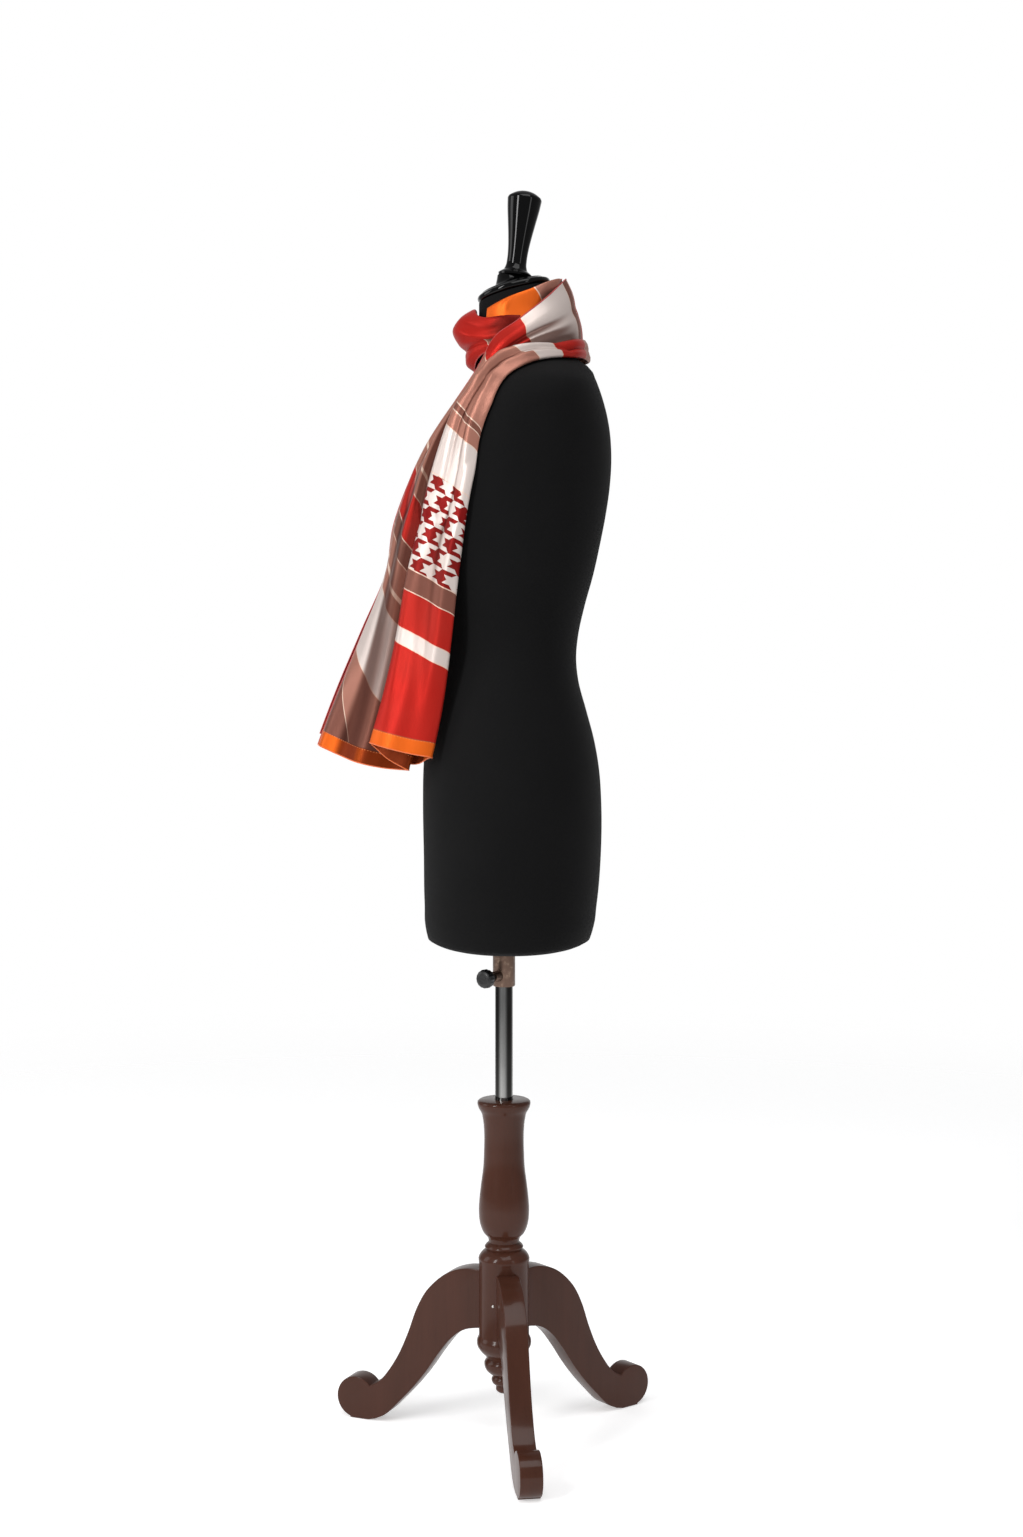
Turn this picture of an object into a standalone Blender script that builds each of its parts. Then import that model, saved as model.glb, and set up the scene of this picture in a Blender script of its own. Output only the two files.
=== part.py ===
# A silk stole wound once round a limbless dress form that stands on a turned tripod.
# Tables are in millimetres and the scene is in metres. +Z is up and the form faces -Y.

import bpy
import bmesh
import math
import numpy as np

MILLIMETRE = 0.001

# Cloth
CLOTH_WALL = 1.2
CLOTH_CLEARANCE = 2.4
NECK_CLEARANCE = 1.2
LAYER_STEP = 2.9

# Dress form
NECK_TILT = math.radians(15)
NECK_AXIS_Y = 13.0
NECK_TOP = 1370.0
NECK_TILT_START = 1290.0
FORM_SEGMENTS = 36
FORM_SQUARENESS = 2.1
CAP_RADIUS = 45.0
FINIAL_LEAN = math.radians(7.3)
FINIAL_BASE_HEIGHT = 1391.0
FINIAL_SEAT_RADIUS = 22.0
FINIAL_SEAT_DEPTH = 40.0

# Post, collar and clamp
POST_RADIUS = 10.7
POST_BOTTOM = 330.0
POST_TOP = 790.0
BORE_RADIUS = 11.0
FORM_BORE_BOTTOM = 500.0
FORM_BORE_TOP = 945.0
COLLAR_RADIUS = 13.4
COLLAR_BOTTOM = 540.0
COLLAR_TOP = 593.7
BOSS_RADIUS = 6.5
BOSS_REACH = 24.0
BOSS_START = 12.0
BOSS_HEIGHT = 553.0
CLAMP_TURN = math.radians(-33)
KNOB_START = 24.3

# Stand
COLUMN_TOP = 404.0
HUB_RADIUS = 30.0
LEG_THICKNESS = 30.0
LEG_HUB_GAP = 0.3
LEG_HUB_SPAN = (60.0, 260.0)
LEG_EDGE_ROUNDING = 1.6
LEG_DIRECTIONS = {"leg_near": 7.3, "leg_back": 127.3, "leg_front": 247.3}
SCROLL_CENTRE = (192.6, 25.4)
SCROLL_RADIUS = 25.0
SCROLL_ARC = (math.radians(140), math.radians(-72))
SCROLL_POINTS = 14
UPPER_EDGE_POINTS = 17
LOWER_EDGE_POINTS = 14
FOOT_FLAT = (176.0, 200.0)
FOOT_LIFT = 0.6

# The part stands with the middle of its footprint on the origin
ORIGIN_SHIFT = (-23.73, 23.0, 0.0)

# Form sections, bottom to top: the height, the front and back of the section,
# its half width, and where between front and back it is widest
FORM_SECTIONS = (
    # height, front, back, half_width, widest_at
    (594, -78, 90, 146, 7),
    (598, -88, 100, 156, 7),
    (610, -93, 106, 162, 8),
    (640, -95, 111, 166, 8),
    (700, -96, 116, 170, 9),
    (760, -97, 116.5, 168, 9),
    (799, -96.5, 114, 163, 8),
    (835, -94, 108, 154, 7),
    (871, -89, 98.5, 142, 5),
    (907, -82, 89, 130, 3),
    (935, -79, 86.5, 124, 2),
    (961, -81, 89, 124, 3),
    (997, -92, 97, 128, 5),
    (1033, -106, 107, 133, 7),
    (1069, -115, 115, 137, 8),
    (1105, -117, 122, 140, 12),
    (1141, -107, 127, 145, 20),
    (1177, -89, 128.5, 154, 30),
    (1213, -64, 125, 165, 38),
    (1234, -47, 120, 168, 42),
    (1250, -38, 115, 158, 44),
    (1264, -33, 110, 132, 43),
    (1277, -31, 104, 104, 40),
    (1288, -31, 89, 82, 35),
    (1299, -31, 80, 65, 28),
    (1311, -31, 70, 56, 22),
    (1324, -30.5, 63, 50, 18),
    (1340, -30.5, 58.5, 46.5, 14.5),
    (1356, -30, 56.5, 44.5, 13.3),
    (1370, -30, 56, 43.5, 13),
)

# Guide lines of the end that hangs on the near side, nape to hem: the front edge,
# the near pleat's fold and the rear fold, each as x, y and z at one section
END_GUIDES = (
    # section, edge_x, edge_y, edge_z, fold_x, fold_y, fold_z, rear_x, rear_y, rear_z
    ("start", -30, 69, 1383, -34, 92, 1312, -37, 98, 1290),
    ("nape", 0, 76, 1386, 0, 98, 1312, 0, 103, 1290),
    ("back", 50, 50, 1357, 60, 79, 1304, 78, 82, 1283),
    ("side", 73, 16, 1327, 97, 29, 1283, 121, 33, 1263),
    ("shoulder", 68, -12, 1307, 106, -6, 1251, 134, 2, 1227),
    ("collarbone", 38, -36, 1273, 102, -42, 1209, 138, -26, 1186),
    ("chest", 14, -96, 1190, 103, -72, 1150, 140, -37, 1138),
    ("bust", 9, -131, 1100, 102, -91, 1095, 137, -45, 1095),
    ("below_bust", 9, -143, 1033, 99, -108, 1030, 131, -54, 1030),
    ("waist", 10, -176, 960, 95, -121, 955, 125, -63, 950),
    ("hip", 11, -204, 893, 92, -136, 885, 121, -73, 880),
    ("hem", 13, -227, 829, 91, -151, 829, 118, -85, 822),
)
GATHERED_UNTIL = 7.0
END_ROWS = 25
FAR_END_SHORTER = 14.0
NAPE_FLATTENED = 0.75
NAPE_FLAT_UNTIL = 1.5

# Where the far end lies under the near one at the nape: how far in and how far up
# from the near end's guide lines, for its edge, fold and rear
NAPE_INSETS = (5.5, 15.0, 15.0)
NAPE_RAISES = (-2.0, 3.0, 11.0)
NAPE_INSET_UNTIL = 1.7
FAR_END_START = 0.88

# Folds across an end from its front edge to its hidden back edge. A place is 0 on the
# front edge line, 1 on the pleat's fold and 2 on the rear fold. A lift is outwards.
END_FOLDS = (
    # fold, place, lift, hem_place, hem_lift, hem_drop, layers_below, steps
    ("front edge", 0.00, -1.0, 0.00, 0.0, 0, 0.0, 1),
    ("front swell", 0.22, 1.8, 0.20, 7.0, 5, 0.6, 2),
    ("front trough", 0.50, -0.4, 0.46, -1.0, 12, 1.0, 2),
    ("front ridge", 0.78, -0.8, 0.76, 0.0, 18, 1.0, 2),
    ("under pleat", 1.06, -5.8, 1.05, -12.0, 21, 1.0, 2),
    ("pleat root in", 1.40, -8.0, 1.48, -20.0, 22, 1.0, 1),
    ("pleat root", 1.47, -6.2, 1.56, -16.5, 22, 1.5, 1),
    ("pleat root out", 1.40, -4.4, 1.48, -13.0, 20, 2.0, 1),
    ("pleat return", 1.18, -3.7, 1.20, -10.0, 12, 2.0, 1),
    ("pleat fold in", 1.03, -3.0, 1.00, -8.0, 2, 2.0, 1),
    ("pleat fold", 0.97, -1.2, 0.94, -3.5, -4, 2.5, 1),
    ("pleat fold out", 1.03, 0.6, 1.00, 1.5, -3, 3.0, 1),
    ("near swell", 1.34, 1.8, 1.32, 6.0, 0, 3.1, 2),
    ("near trough", 1.68, 1.2, 1.68, 2.5, 2, 2.1, 2),
    ("rear fold out", 1.95, 0.4, 1.95, 0.5, 2, 1.3, 1),
    ("rear fold", 2.03, -2.0, 2.03, -4.5, 3, 0.7, 1),
    ("rear fold in", 1.95, -4.6, 1.95, -10.0, 4, 0.0, 1),
    ("tuck start", 1.60, -10.8, 1.62, -27.0, 14, 0.0, 2),
    ("tuck", 1.08, -10.4, 1.05, -27.0, 12, 0.0, 2),
    ("tuck lift", 0.72, -6.4, 0.66, -19.0, 8, 0.0, 2),
    ("back edge", 0.40, -4.6, 0.32, -14.0, 6, 0.0, 1),
)

# The band that crosses the throat, as a cut through it at the front and at the side,
# measured out from the neck's axis and up from the floor
THROAT_FOLDS = (
    # fold, front_out, front_height, side_out, side_height
    ("hidden edge", 50.0, 1306, 60.5, 1300),
    ("inside", 49.0, 1330, 60.5, 1315),
    ("lip in", 48.6, 1347, 60.5, 1326),
    ("lip", 50.5, 1353, 62.0, 1329),
    ("lip out", 55.0, 1350, 63.8, 1326),
    ("slope", 68.0, 1341, 65.2, 1320),
    ("swell", 75.4, 1330, 66.0, 1314),
    ("brim", 75.8, 1321, 66.0, 1308),
    ("under", 68.0, 1308, 65.0, 1307),
    ("crease", 60.5, 1302, 63.2, 1304),
    ("second roll", 61.0, 1294, 63.8, 1301),
    ("second under", 57.0, 1283, 63.2, 1297.5),
    ("hem roll", 49.5, 1276, 61.4, 1294),
)
THROAT_AXIS_Y = 15.0
THROAT_ROWS = 19
THROAT_REACH = math.radians(84)
THROAT_FRONT_SPREAD = math.radians(62)

# The inner band that stands up round the neck, from its foot over its fold
INNER_FOLDS = (
    # fold, out, below_top, layers_below
    ("inner foot", 44.6, 36, 0.0),
    ("inner", 44.6, 20, 0.0),
    ("fold in", 44.8, 4, 0.0),
    ("fold", 46.2, 0, 0.5),
    ("fold out", 47.6, 4, 1.0),
    ("outer", 48.0, 20, 1.0),
    ("outer foot", 48.4, 38, 1.0),
)
INNER_ROWS = 19
INNER_BACK_REACH = math.radians(133)
INNER_TOP_AT_AXIS = 1361.0
INNER_TOP_SLOPE = 0.42

# Turned profiles, from the top down
POST_PROFILE = (
    # radius, height
    (0, POST_TOP),
    (9.7, POST_TOP),
    (POST_RADIUS, POST_TOP - 1),
    (POST_RADIUS, POST_BOTTOM),
    (0, POST_BOTTOM),
)
COLUMN_PROFILE = (
    # radius, height
    (BORE_RADIUS, POST_BOTTOM - 0.3),
    (BORE_RADIUS, COLUMN_TOP),
    (28.5, COLUMN_TOP),
    (31.2, 402.5),
    (31.2, 396),
    (29.6, 392.5),
    (27.4, 389),
    (25.2, 380),
    (24, 368),
    (24, 342),
    (25, 322),
    (27.6, 302),
    (29.6, 284),
    (30.2, 270),
    (28.8, 256),
    (24.6, 245),
    (19.0, 238),
    (18.2, 233.5),
    (21.2, 231),
    (23.2, 228),
    (21.6, 225),
    (25.8, 222),
    (28.4, 219),
    (30.6, 214),
    (HUB_RADIUS, 209),
    (HUB_RADIUS, 122),
    (32.4, 116),
    (32.4, 111),
    (28, 103),
    (23, 98),
    (20.5, 94),
    (23.4, 90),
    (22.8, 83),
    (17, 76),
    (12.5, 73),
    (15, 69),
    (14, 65),
    (9.4, 61),
    (9.6, 56),
    (6, 52.6),
    (0, 51.8),
)
FINIAL_PROFILE = (
    # radius, height above its base
    (0, 105),
    (9, 104),
    (16.2, 100.4),
    (19.8, 95.5),
    (20.4, 91.5),
    (19.4, 83),
    (17, 66),
    (14.4, 49),
    (12.6, 34),
    (12, 20),
    (12.6, 12.5),
    (15, 7),
    (18.6, 4.6),
    (20.4, 2.6),
    (19.8, 0.3),
    (0, 0.3),
)
CAP_PROFILE = (
    # radius, height above the neck's top
    (0, 27),
    (14.5, 27),
    (17.5, 20.5),
    (20.5, 15.6),
    (26, 12.2),
    (38.5, 10.4),
    (40.5, 8.4),
    (44, 7.2),
    (CAP_RADIUS, 4.6),
    (44.2, 1.8),
    (42.4, 0.3),
    (0, 0.3),
)
KNOB_PROFILE = (
    # radius, distance out along the clamp's axis
    (0, 21.6),
    (7.5, 21.4),
    (10.4, 19.8),
    (11.3, 17.2),
    (11.3, 13.4),
    (10.2, 11),
    (6.2, 9.8),
    (4, 8.6),
    (4, 0),
    (0, 0),
)

# Leg outline in its own plane, as the distance from the stand's axis and the height
LEG_UPPER_EDGE = (
    (18, 202),
    (46, 202),
    (73, 192.5),
    (97, 171),
    (112, 146),
    (124, 115),
    (137, 86),
    (152, 61.5),
    (163, 48.5),
    (171.5, 42.5),
)
LEG_LOWER_EDGE = (
    (166, 2.4),
    (152, 9.6),
    (137, 24),
    (117, 45),
    (99, 67),
    (81, 92.5),
    (64, 113),
    (45, 126),
    (18, 131),
)


def smooth_curve(knots, values, places):
    # A cubic curve through the rows of values, read at the given places
    knots = np.asarray(knots, float)
    values = np.asarray(values, float)
    slopes = np.gradient(values, knots, axis=0)
    places = np.clip(np.asarray(places, float), knots[0], knots[-1])
    cell = np.clip(np.searchsorted(knots, places, side="right") - 1, 0, len(knots) - 2)
    width = knots[cell + 1] - knots[cell]
    part = (places - knots[cell]) / width
    if values.ndim > 1:
        width = width[:, None]
        part = part[:, None]
    square = part * part
    cube = square * part
    start = (2 * cube - 3 * square + 1) * values[cell] + (cube - 2 * square + part) * width * slopes[cell]
    end = (3 * square - 2 * cube) * values[cell + 1] + (cube - square) * width * slopes[cell + 1]
    return start + end


def smooth_step(value):
    value = np.clip(value, 0, 1)
    return value * value * (3 - 2 * value)


def neck_tilt_rise(y, level):
    # The neck's sections tip forward little by little, up to its top
    share = smooth_step((level - NECK_TILT_START) / (NECK_TOP - NECK_TILT_START))
    return share * math.tan(NECK_TILT) * (y - NECK_AXIS_Y)


def form_ratio(points):
    # 1 on the form's skin, more outside it and less inside it
    level = points[:, 2].copy()
    for _ in range(4):
        level = points[:, 2] - neck_tilt_rise(points[:, 1], level)
    table = np.asarray(FORM_SECTIONS, float)
    section = smooth_curve(table[:, 0], table[:, 1:], level)
    front, back, half_width, widest = section.T
    offset = points[:, 1] - widest
    depth = np.where(offset < 0, widest - front, back - widest)
    powers = np.abs(points[:, 0] / half_width) ** FORM_SQUARENESS
    powers = powers + np.abs(offset / depth) ** FORM_SQUARENESS
    return powers ** (1 / FORM_SQUARENESS)


def keep_off_form(points, clearance):
    # Moves the points that are too near the form's skin straight out of it
    moved = points.copy()
    probe = 0.5
    for _ in range(8):
        ratio = form_ratio(moved)
        gradient = np.empty_like(moved)
        for axis in range(3):
            ahead = moved.copy()
            ahead[:, axis] += probe
            gradient[:, axis] = (form_ratio(ahead) - ratio) / probe
        steepness = np.maximum(np.linalg.norm(gradient, axis=1), 1e-6)
        distance = (ratio - 1) / steepness
        shortfall = np.clip(clearance - distance, 0, 6)
        moved = moved + gradient / steepness[:, None] * shortfall[:, None]
    return moved


def material(name, colour, roughness, metallic=0.0):
    made = bpy.data.materials.new(name)
    made.use_nodes = True
    shader = made.node_tree.nodes["Principled BSDF"]
    shader.inputs["Base Color"].default_value = (*colour, 1)
    shader.inputs["Roughness"].default_value = roughness
    shader.inputs["Metallic"].default_value = metallic
    made.diffuse_color = (*colour, 1)
    return made


def solid(name, points, faces, surface, sharp_angle=40):
    # One mesh object from points in millimetres, with its faces turned outwards
    mesh = bpy.data.meshes.new(name)
    mesh.from_pydata([tuple(float(c) * MILLIMETRE for c in point) for point in points], [], faces)
    work = bmesh.new()
    work.from_mesh(mesh)
    bmesh.ops.recalc_face_normals(work, faces=work.faces)
    work.to_mesh(mesh)
    work.free()
    mesh.shade_smooth()
    mesh.set_sharp_from_angle(angle=math.radians(sharp_angle))
    mesh.materials.append(surface)
    made = bpy.data.objects.new(name, mesh)
    bpy.context.scene.collection.objects.link(made)
    return made


def turned(name, profile, segments, surface):
    # A closed turned solid. The profile starts and ends on the axis or at a bore.
    points = []
    rings = []
    for radius, height in profile:
        if radius == 0:
            rings.append([len(points)])
            points.append((0, 0, height))
            continue
        ring = []
        for index in range(segments):
            angle = 2 * math.pi * index / segments
            ring.append(len(points))
            points.append((radius * math.cos(angle), radius * math.sin(angle), height))
        rings.append(ring)
    faces = []
    for upper, lower in zip(rings, rings[1:]):
        faces.extend(ring_faces(upper, lower))
    if len(rings[0]) > 1:
        faces.append(rings[0])
    if len(rings[-1]) > 1:
        faces.append(rings[-1])
    return solid(name, points, faces, surface)


def ring_faces(upper, lower):
    count = max(len(upper), len(lower))
    faces = []
    for index in range(count):
        after = (index + 1) % count
        if len(upper) == 1:
            faces.append((upper[0], lower[index], lower[after]))
        elif len(lower) == 1:
            faces.append((upper[index], lower[0], upper[after]))
        else:
            faces.append((upper[index], lower[index], lower[after], upper[after]))
    return faces


def grid_normals(grid):
    along = np.gradient(grid, axis=0)
    across = np.gradient(grid, axis=1)
    normals = np.cross(across, along)
    return normals / np.maximum(np.linalg.norm(normals, axis=2, keepdims=True), 1e-9)


def cloth_wall(name, grid, surface):
    # A wall of even thickness on both sides of a grid of points
    rows, columns = grid.shape[:2]
    half = grid_normals(grid) * CLOTH_WALL / 2
    points = np.concatenate([(grid + half).reshape(-1, 3), (grid - half).reshape(-1, 3)])
    under = rows * columns
    faces = []
    for row in range(rows - 1):
        for column in range(columns - 1):
            corner = row * columns + column
            across = (corner, corner + 1, corner + columns + 1)
            back = (corner, corner + columns + 1, corner + columns)
            for face in (across, back):
                faces.append(face)
                faces.append(tuple(under + index for index in reversed(face)))
    rim = [column for column in range(columns)]
    rim += [row * columns + columns - 1 for row in range(1, rows)]
    rim += [(rows - 1) * columns + column for column in range(columns - 2, -1, -1)]
    rim += [row * columns for row in range(rows - 2, 0, -1)]
    for index, first in enumerate(rim):
        second = rim[(index + 1) % len(rim)]
        faces.append((first, under + first, under + second, second))
    return solid(name, points, faces, surface, sharp_angle=60)


def place(made, location=(0, 0, 0), rotation=(0, 0, 0), parent=None):
    made.location = [value * MILLIMETRE for value in location]
    made.rotation_euler = rotation
    made.parent = parent
    return made


def pivot(name, location, parent=None):
    made = bpy.data.objects.new(name, None)
    bpy.context.scene.collection.objects.link(made)
    return place(made, location, parent=parent)


def cut(target, cutter):
    cutter.display_type = "WIRE"
    cutter.hide_render = True
    boolean = target.modifiers.new("cut " + cutter.name, "BOOLEAN")
    boolean.operation = "DIFFERENCE"
    boolean.solver = "EXACT"
    boolean.object = cutter


def bevelled(made, width):
    bevel = made.modifiers.new("softened edges", "BEVEL")
    bevel.width = width * MILLIMETRE
    bevel.segments = 1
    bevel.limit_method = "ANGLE"
    bevel.angle_limit = math.radians(50)


def make_form(surface):
    # The torso and neck as rings of one skin
    points = []
    rings = []
    for level, front, back, half_width, widest in FORM_SECTIONS:
        ring = []
        for index in range(FORM_SEGMENTS):
            angle = 2 * math.pi * index / FORM_SEGMENTS
            cosine = math.cos(angle)
            sine = math.sin(angle)
            power = 2 / FORM_SQUARENESS
            x = half_width * math.copysign(abs(cosine) ** power, cosine)
            depth = back - widest if sine > 0 else widest - front
            y = widest + depth * math.copysign(abs(sine) ** power, sine)
            ring.append(len(points))
            points.append((x, y, level + float(neck_tilt_rise(y, level))))
        rings.append(ring)
    faces = [rings[0], rings[-1]]
    for lower, upper in zip(rings, rings[1:]):
        faces.extend(ring_faces(upper, lower))
    return solid("torso", points, faces, surface, sharp_angle=50)


def bore_cutter(name, bottom, top, radius):
    profile = ((0, top), (radius, top), (radius, bottom), (0, bottom))
    return turned(name, profile, 24, None)


def end_sections(start):
    # Guide lines of one end, read at even steps from the nape to the hem
    table = np.asarray([guide[1:] for guide in END_GUIDES], float)
    stations = np.linspace(start, len(table) - 1, END_ROWS)
    return stations, smooth_curve(np.arange(len(table)), table, stations)


def end_grid(side, start, insets, raises, shorter):
    stations, guides = end_sections(start)
    inset_share = 1 - smooth_step(stations - NAPE_INSET_UNTIL)
    edge, fold, rear = guides[:, 0:3], guides[:, 3:6], guides[:, 6:9]
    for line, inset, rise in zip((edge, fold, rear), insets, raises):
        line[:, 1] -= inset * inset_share
        line[:, 2] += rise * inset_share
    folds = np.asarray([row[1:] for row in END_FOLDS], float)
    knots = np.arange(len(folds))
    steps = folds[:, 6].astype(int)
    places = [knot + step / steps[knot] for knot in knots[:-1] for step in range(steps[knot])]
    folds = smooth_curve(knots, folds[:, :6], np.asarray(places + [knots[-1]]))
    hem_share = smooth_step((stations - GATHERED_UNTIL) / (stations[-1] - GATHERED_UNTIL))[:, None]
    spread = (1 - hem_share) * folds[:, 0] + hem_share * folds[:, 2]
    flattening = NAPE_FLATTENED + (1 - NAPE_FLATTENED) * smooth_step((stations - NAPE_FLAT_UNTIL) / 1.5)
    lift = ((1 - hem_share) * folds[:, 1] + hem_share * folds[:, 3]) * flattening[:, None]
    drop = smooth_step((stations[:, None] - GATHERED_UNTIL) / (stations[-1] - GATHERED_UNTIL)) * folds[:, 4]
    front_length = np.linalg.norm(fold - edge, axis=1)[:, None]
    rear_length = np.linalg.norm(rear - fold, axis=1)[:, None]
    middle = front_length / (front_length + rear_length)
    share = np.where(spread < 1, spread * middle, middle + (spread - 1) * (1 - middle))

    def guide_point(at):
        weight_edge = (at - middle) * (at - 1) / middle
        weight_fold = at * (at - 1) / (middle * (middle - 1))
        weight_rear = at * (at - middle) / (1 - middle)
        parts = (weight_edge, edge), (weight_fold, fold), (weight_rear, rear)
        return sum(weight[..., None] * line[:, None, :] for weight, line in parts)

    base = guide_point(share)
    probe = 0.01
    across = guide_point(share + probe) - guide_point(share - probe)
    along = np.gradient(base, axis=0)
    outward = np.cross(along, across)
    outward /= np.linalg.norm(outward, axis=2, keepdims=True)
    grid = base + outward * lift[..., None]
    grid[:, :, 2] -= drop
    grid[:, :, 2] += shorter * hem_share
    grid = grid * np.array((side, 1, 1))
    clearance = CLOTH_CLEARANCE + CLOTH_WALL / 2 + LAYER_STEP * flattening[:, None] * folds[:, 5]
    return keep_off_form(grid.reshape(-1, 3), clearance.reshape(-1)).reshape(grid.shape)


def throat_grid():
    folds = np.asarray([row[1:] for row in THROAT_FOLDS], float)
    turns = np.linspace(-THROAT_REACH, THROAT_REACH, THROAT_ROWS)
    frontness = 1 - smooth_step(np.abs(turns) / THROAT_FRONT_SPREAD)
    out = folds[:, 2] + frontness[:, None] * (folds[:, 0] - folds[:, 2])
    height = folds[:, 3] + frontness[:, None] * (folds[:, 1] - folds[:, 3])
    x = out * np.sin(turns)[:, None]
    y = THROAT_AXIS_Y - out * np.cos(turns)[:, None]
    grid = np.stack([x, y, height], axis=2)
    clearance = np.full(grid[:, :, 0].size, NECK_CLEARANCE + CLOTH_WALL / 2)
    return keep_off_form(grid.reshape(-1, 3), clearance).reshape(grid.shape)


def inner_grid():
    folds = np.asarray([row[1:] for row in INNER_FOLDS], float)
    turns = np.linspace(-INNER_BACK_REACH, INNER_BACK_REACH, INNER_ROWS)[:, None]
    out = folds[:, 0] * np.ones_like(turns)
    x = out * np.sin(turns)
    y = NECK_AXIS_Y + out * np.cos(turns)
    top = INNER_TOP_AT_AXIS + INNER_TOP_SLOPE * (y - NECK_AXIS_Y)
    grid = np.stack([x, y, top - folds[:, 1]], axis=2)
    layers = folds[:, 2] * np.ones_like(turns)
    clearance = NECK_CLEARANCE + CLOTH_WALL / 2 + LAYER_STEP * layers
    return keep_off_form(grid.reshape(-1, 3), clearance.reshape(-1)).reshape(grid.shape)


def leg_outline():
    upper = np.asarray(LEG_UPPER_EDGE, float)
    knots = np.arange(len(upper))
    upper = smooth_curve(knots, upper, np.linspace(0, knots[-1], UPPER_EDGE_POINTS))
    scroll = []
    for angle in np.linspace(*SCROLL_ARC, SCROLL_POINTS):
        radial = SCROLL_CENTRE[0] + SCROLL_RADIUS * math.cos(angle)
        height = SCROLL_CENTRE[1] + SCROLL_RADIUS * math.sin(angle)
        scroll.append((radial, max(height, FOOT_LIFT)))
    lower = np.asarray(LEG_LOWER_EDGE, float)
    knots = np.arange(len(lower))
    lower = smooth_curve(knots, lower, np.linspace(0, knots[-1], LOWER_EDGE_POINTS))
    foot = [(FOOT_FLAT[1], 0.0), (FOOT_FLAT[0], 0.0)]
    return [tuple(point) for point in upper] + scroll + foot + [tuple(point) for point in lower]


def make_leg(name, direction, surface, hub_cutter):
    outline = leg_outline()
    half = LEG_THICKNESS / 2
    points = [(radial, -half, height) for radial, height in outline]
    points += [(radial, half, height) for radial, height in outline]
    count = len(outline)
    faces = [list(range(count)), list(range(2 * count - 1, count - 1, -1))]
    for index in range(count):
        after = (index + 1) % count
        faces.append((index, after, count + after, count + index))
    made = solid(name, points, faces, surface)
    bevelled(made, LEG_EDGE_ROUNDING)
    cut(made, hub_cutter)
    return place(made, rotation=(0, 0, math.radians(direction)))


def make_collar(surface, parent):
    profile = (
        (BORE_RADIUS, COLLAR_BOTTOM),
        (BORE_RADIUS, COLLAR_TOP),
        (COLLAR_RADIUS, COLLAR_TOP),
        (COLLAR_RADIUS, COLLAR_BOTTOM + 0.8),
        (COLLAR_RADIUS - 0.8, COLLAR_BOTTOM),
    )
    collar = turned_tube("collar", profile, 24, surface)
    boss_profile = ((0, BOSS_REACH), (BOSS_RADIUS, BOSS_REACH), (BOSS_RADIUS, BOSS_START), (0, BOSS_START))
    boss = turned("boss", boss_profile, 16, surface)
    place(boss, (0, 0, BOSS_HEIGHT), (0, math.radians(90), CLAMP_TURN), parent)
    union = collar.modifiers.new("boss", "BOOLEAN")
    union.operation = "UNION"
    union.solver = "EXACT"
    union.object = boss
    boss.display_type = "WIRE"
    boss.hide_render = True
    return place(collar, parent=parent)


def turned_tube(name, profile, segments, surface):
    # A turned ring whose profile is a closed loop round its wall
    points = []
    for radius, height in profile:
        for index in range(segments):
            angle = 2 * math.pi * index / segments
            points.append((radius * math.cos(angle), radius * math.sin(angle), height))
    faces = []
    for row in range(len(profile)):
        after_row = (row + 1) % len(profile)
        upper = [row * segments + index for index in range(segments)]
        lower = [after_row * segments + index for index in range(segments)]
        faces.extend(ring_faces(upper, lower))
    return solid(name, points, faces, surface)


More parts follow.
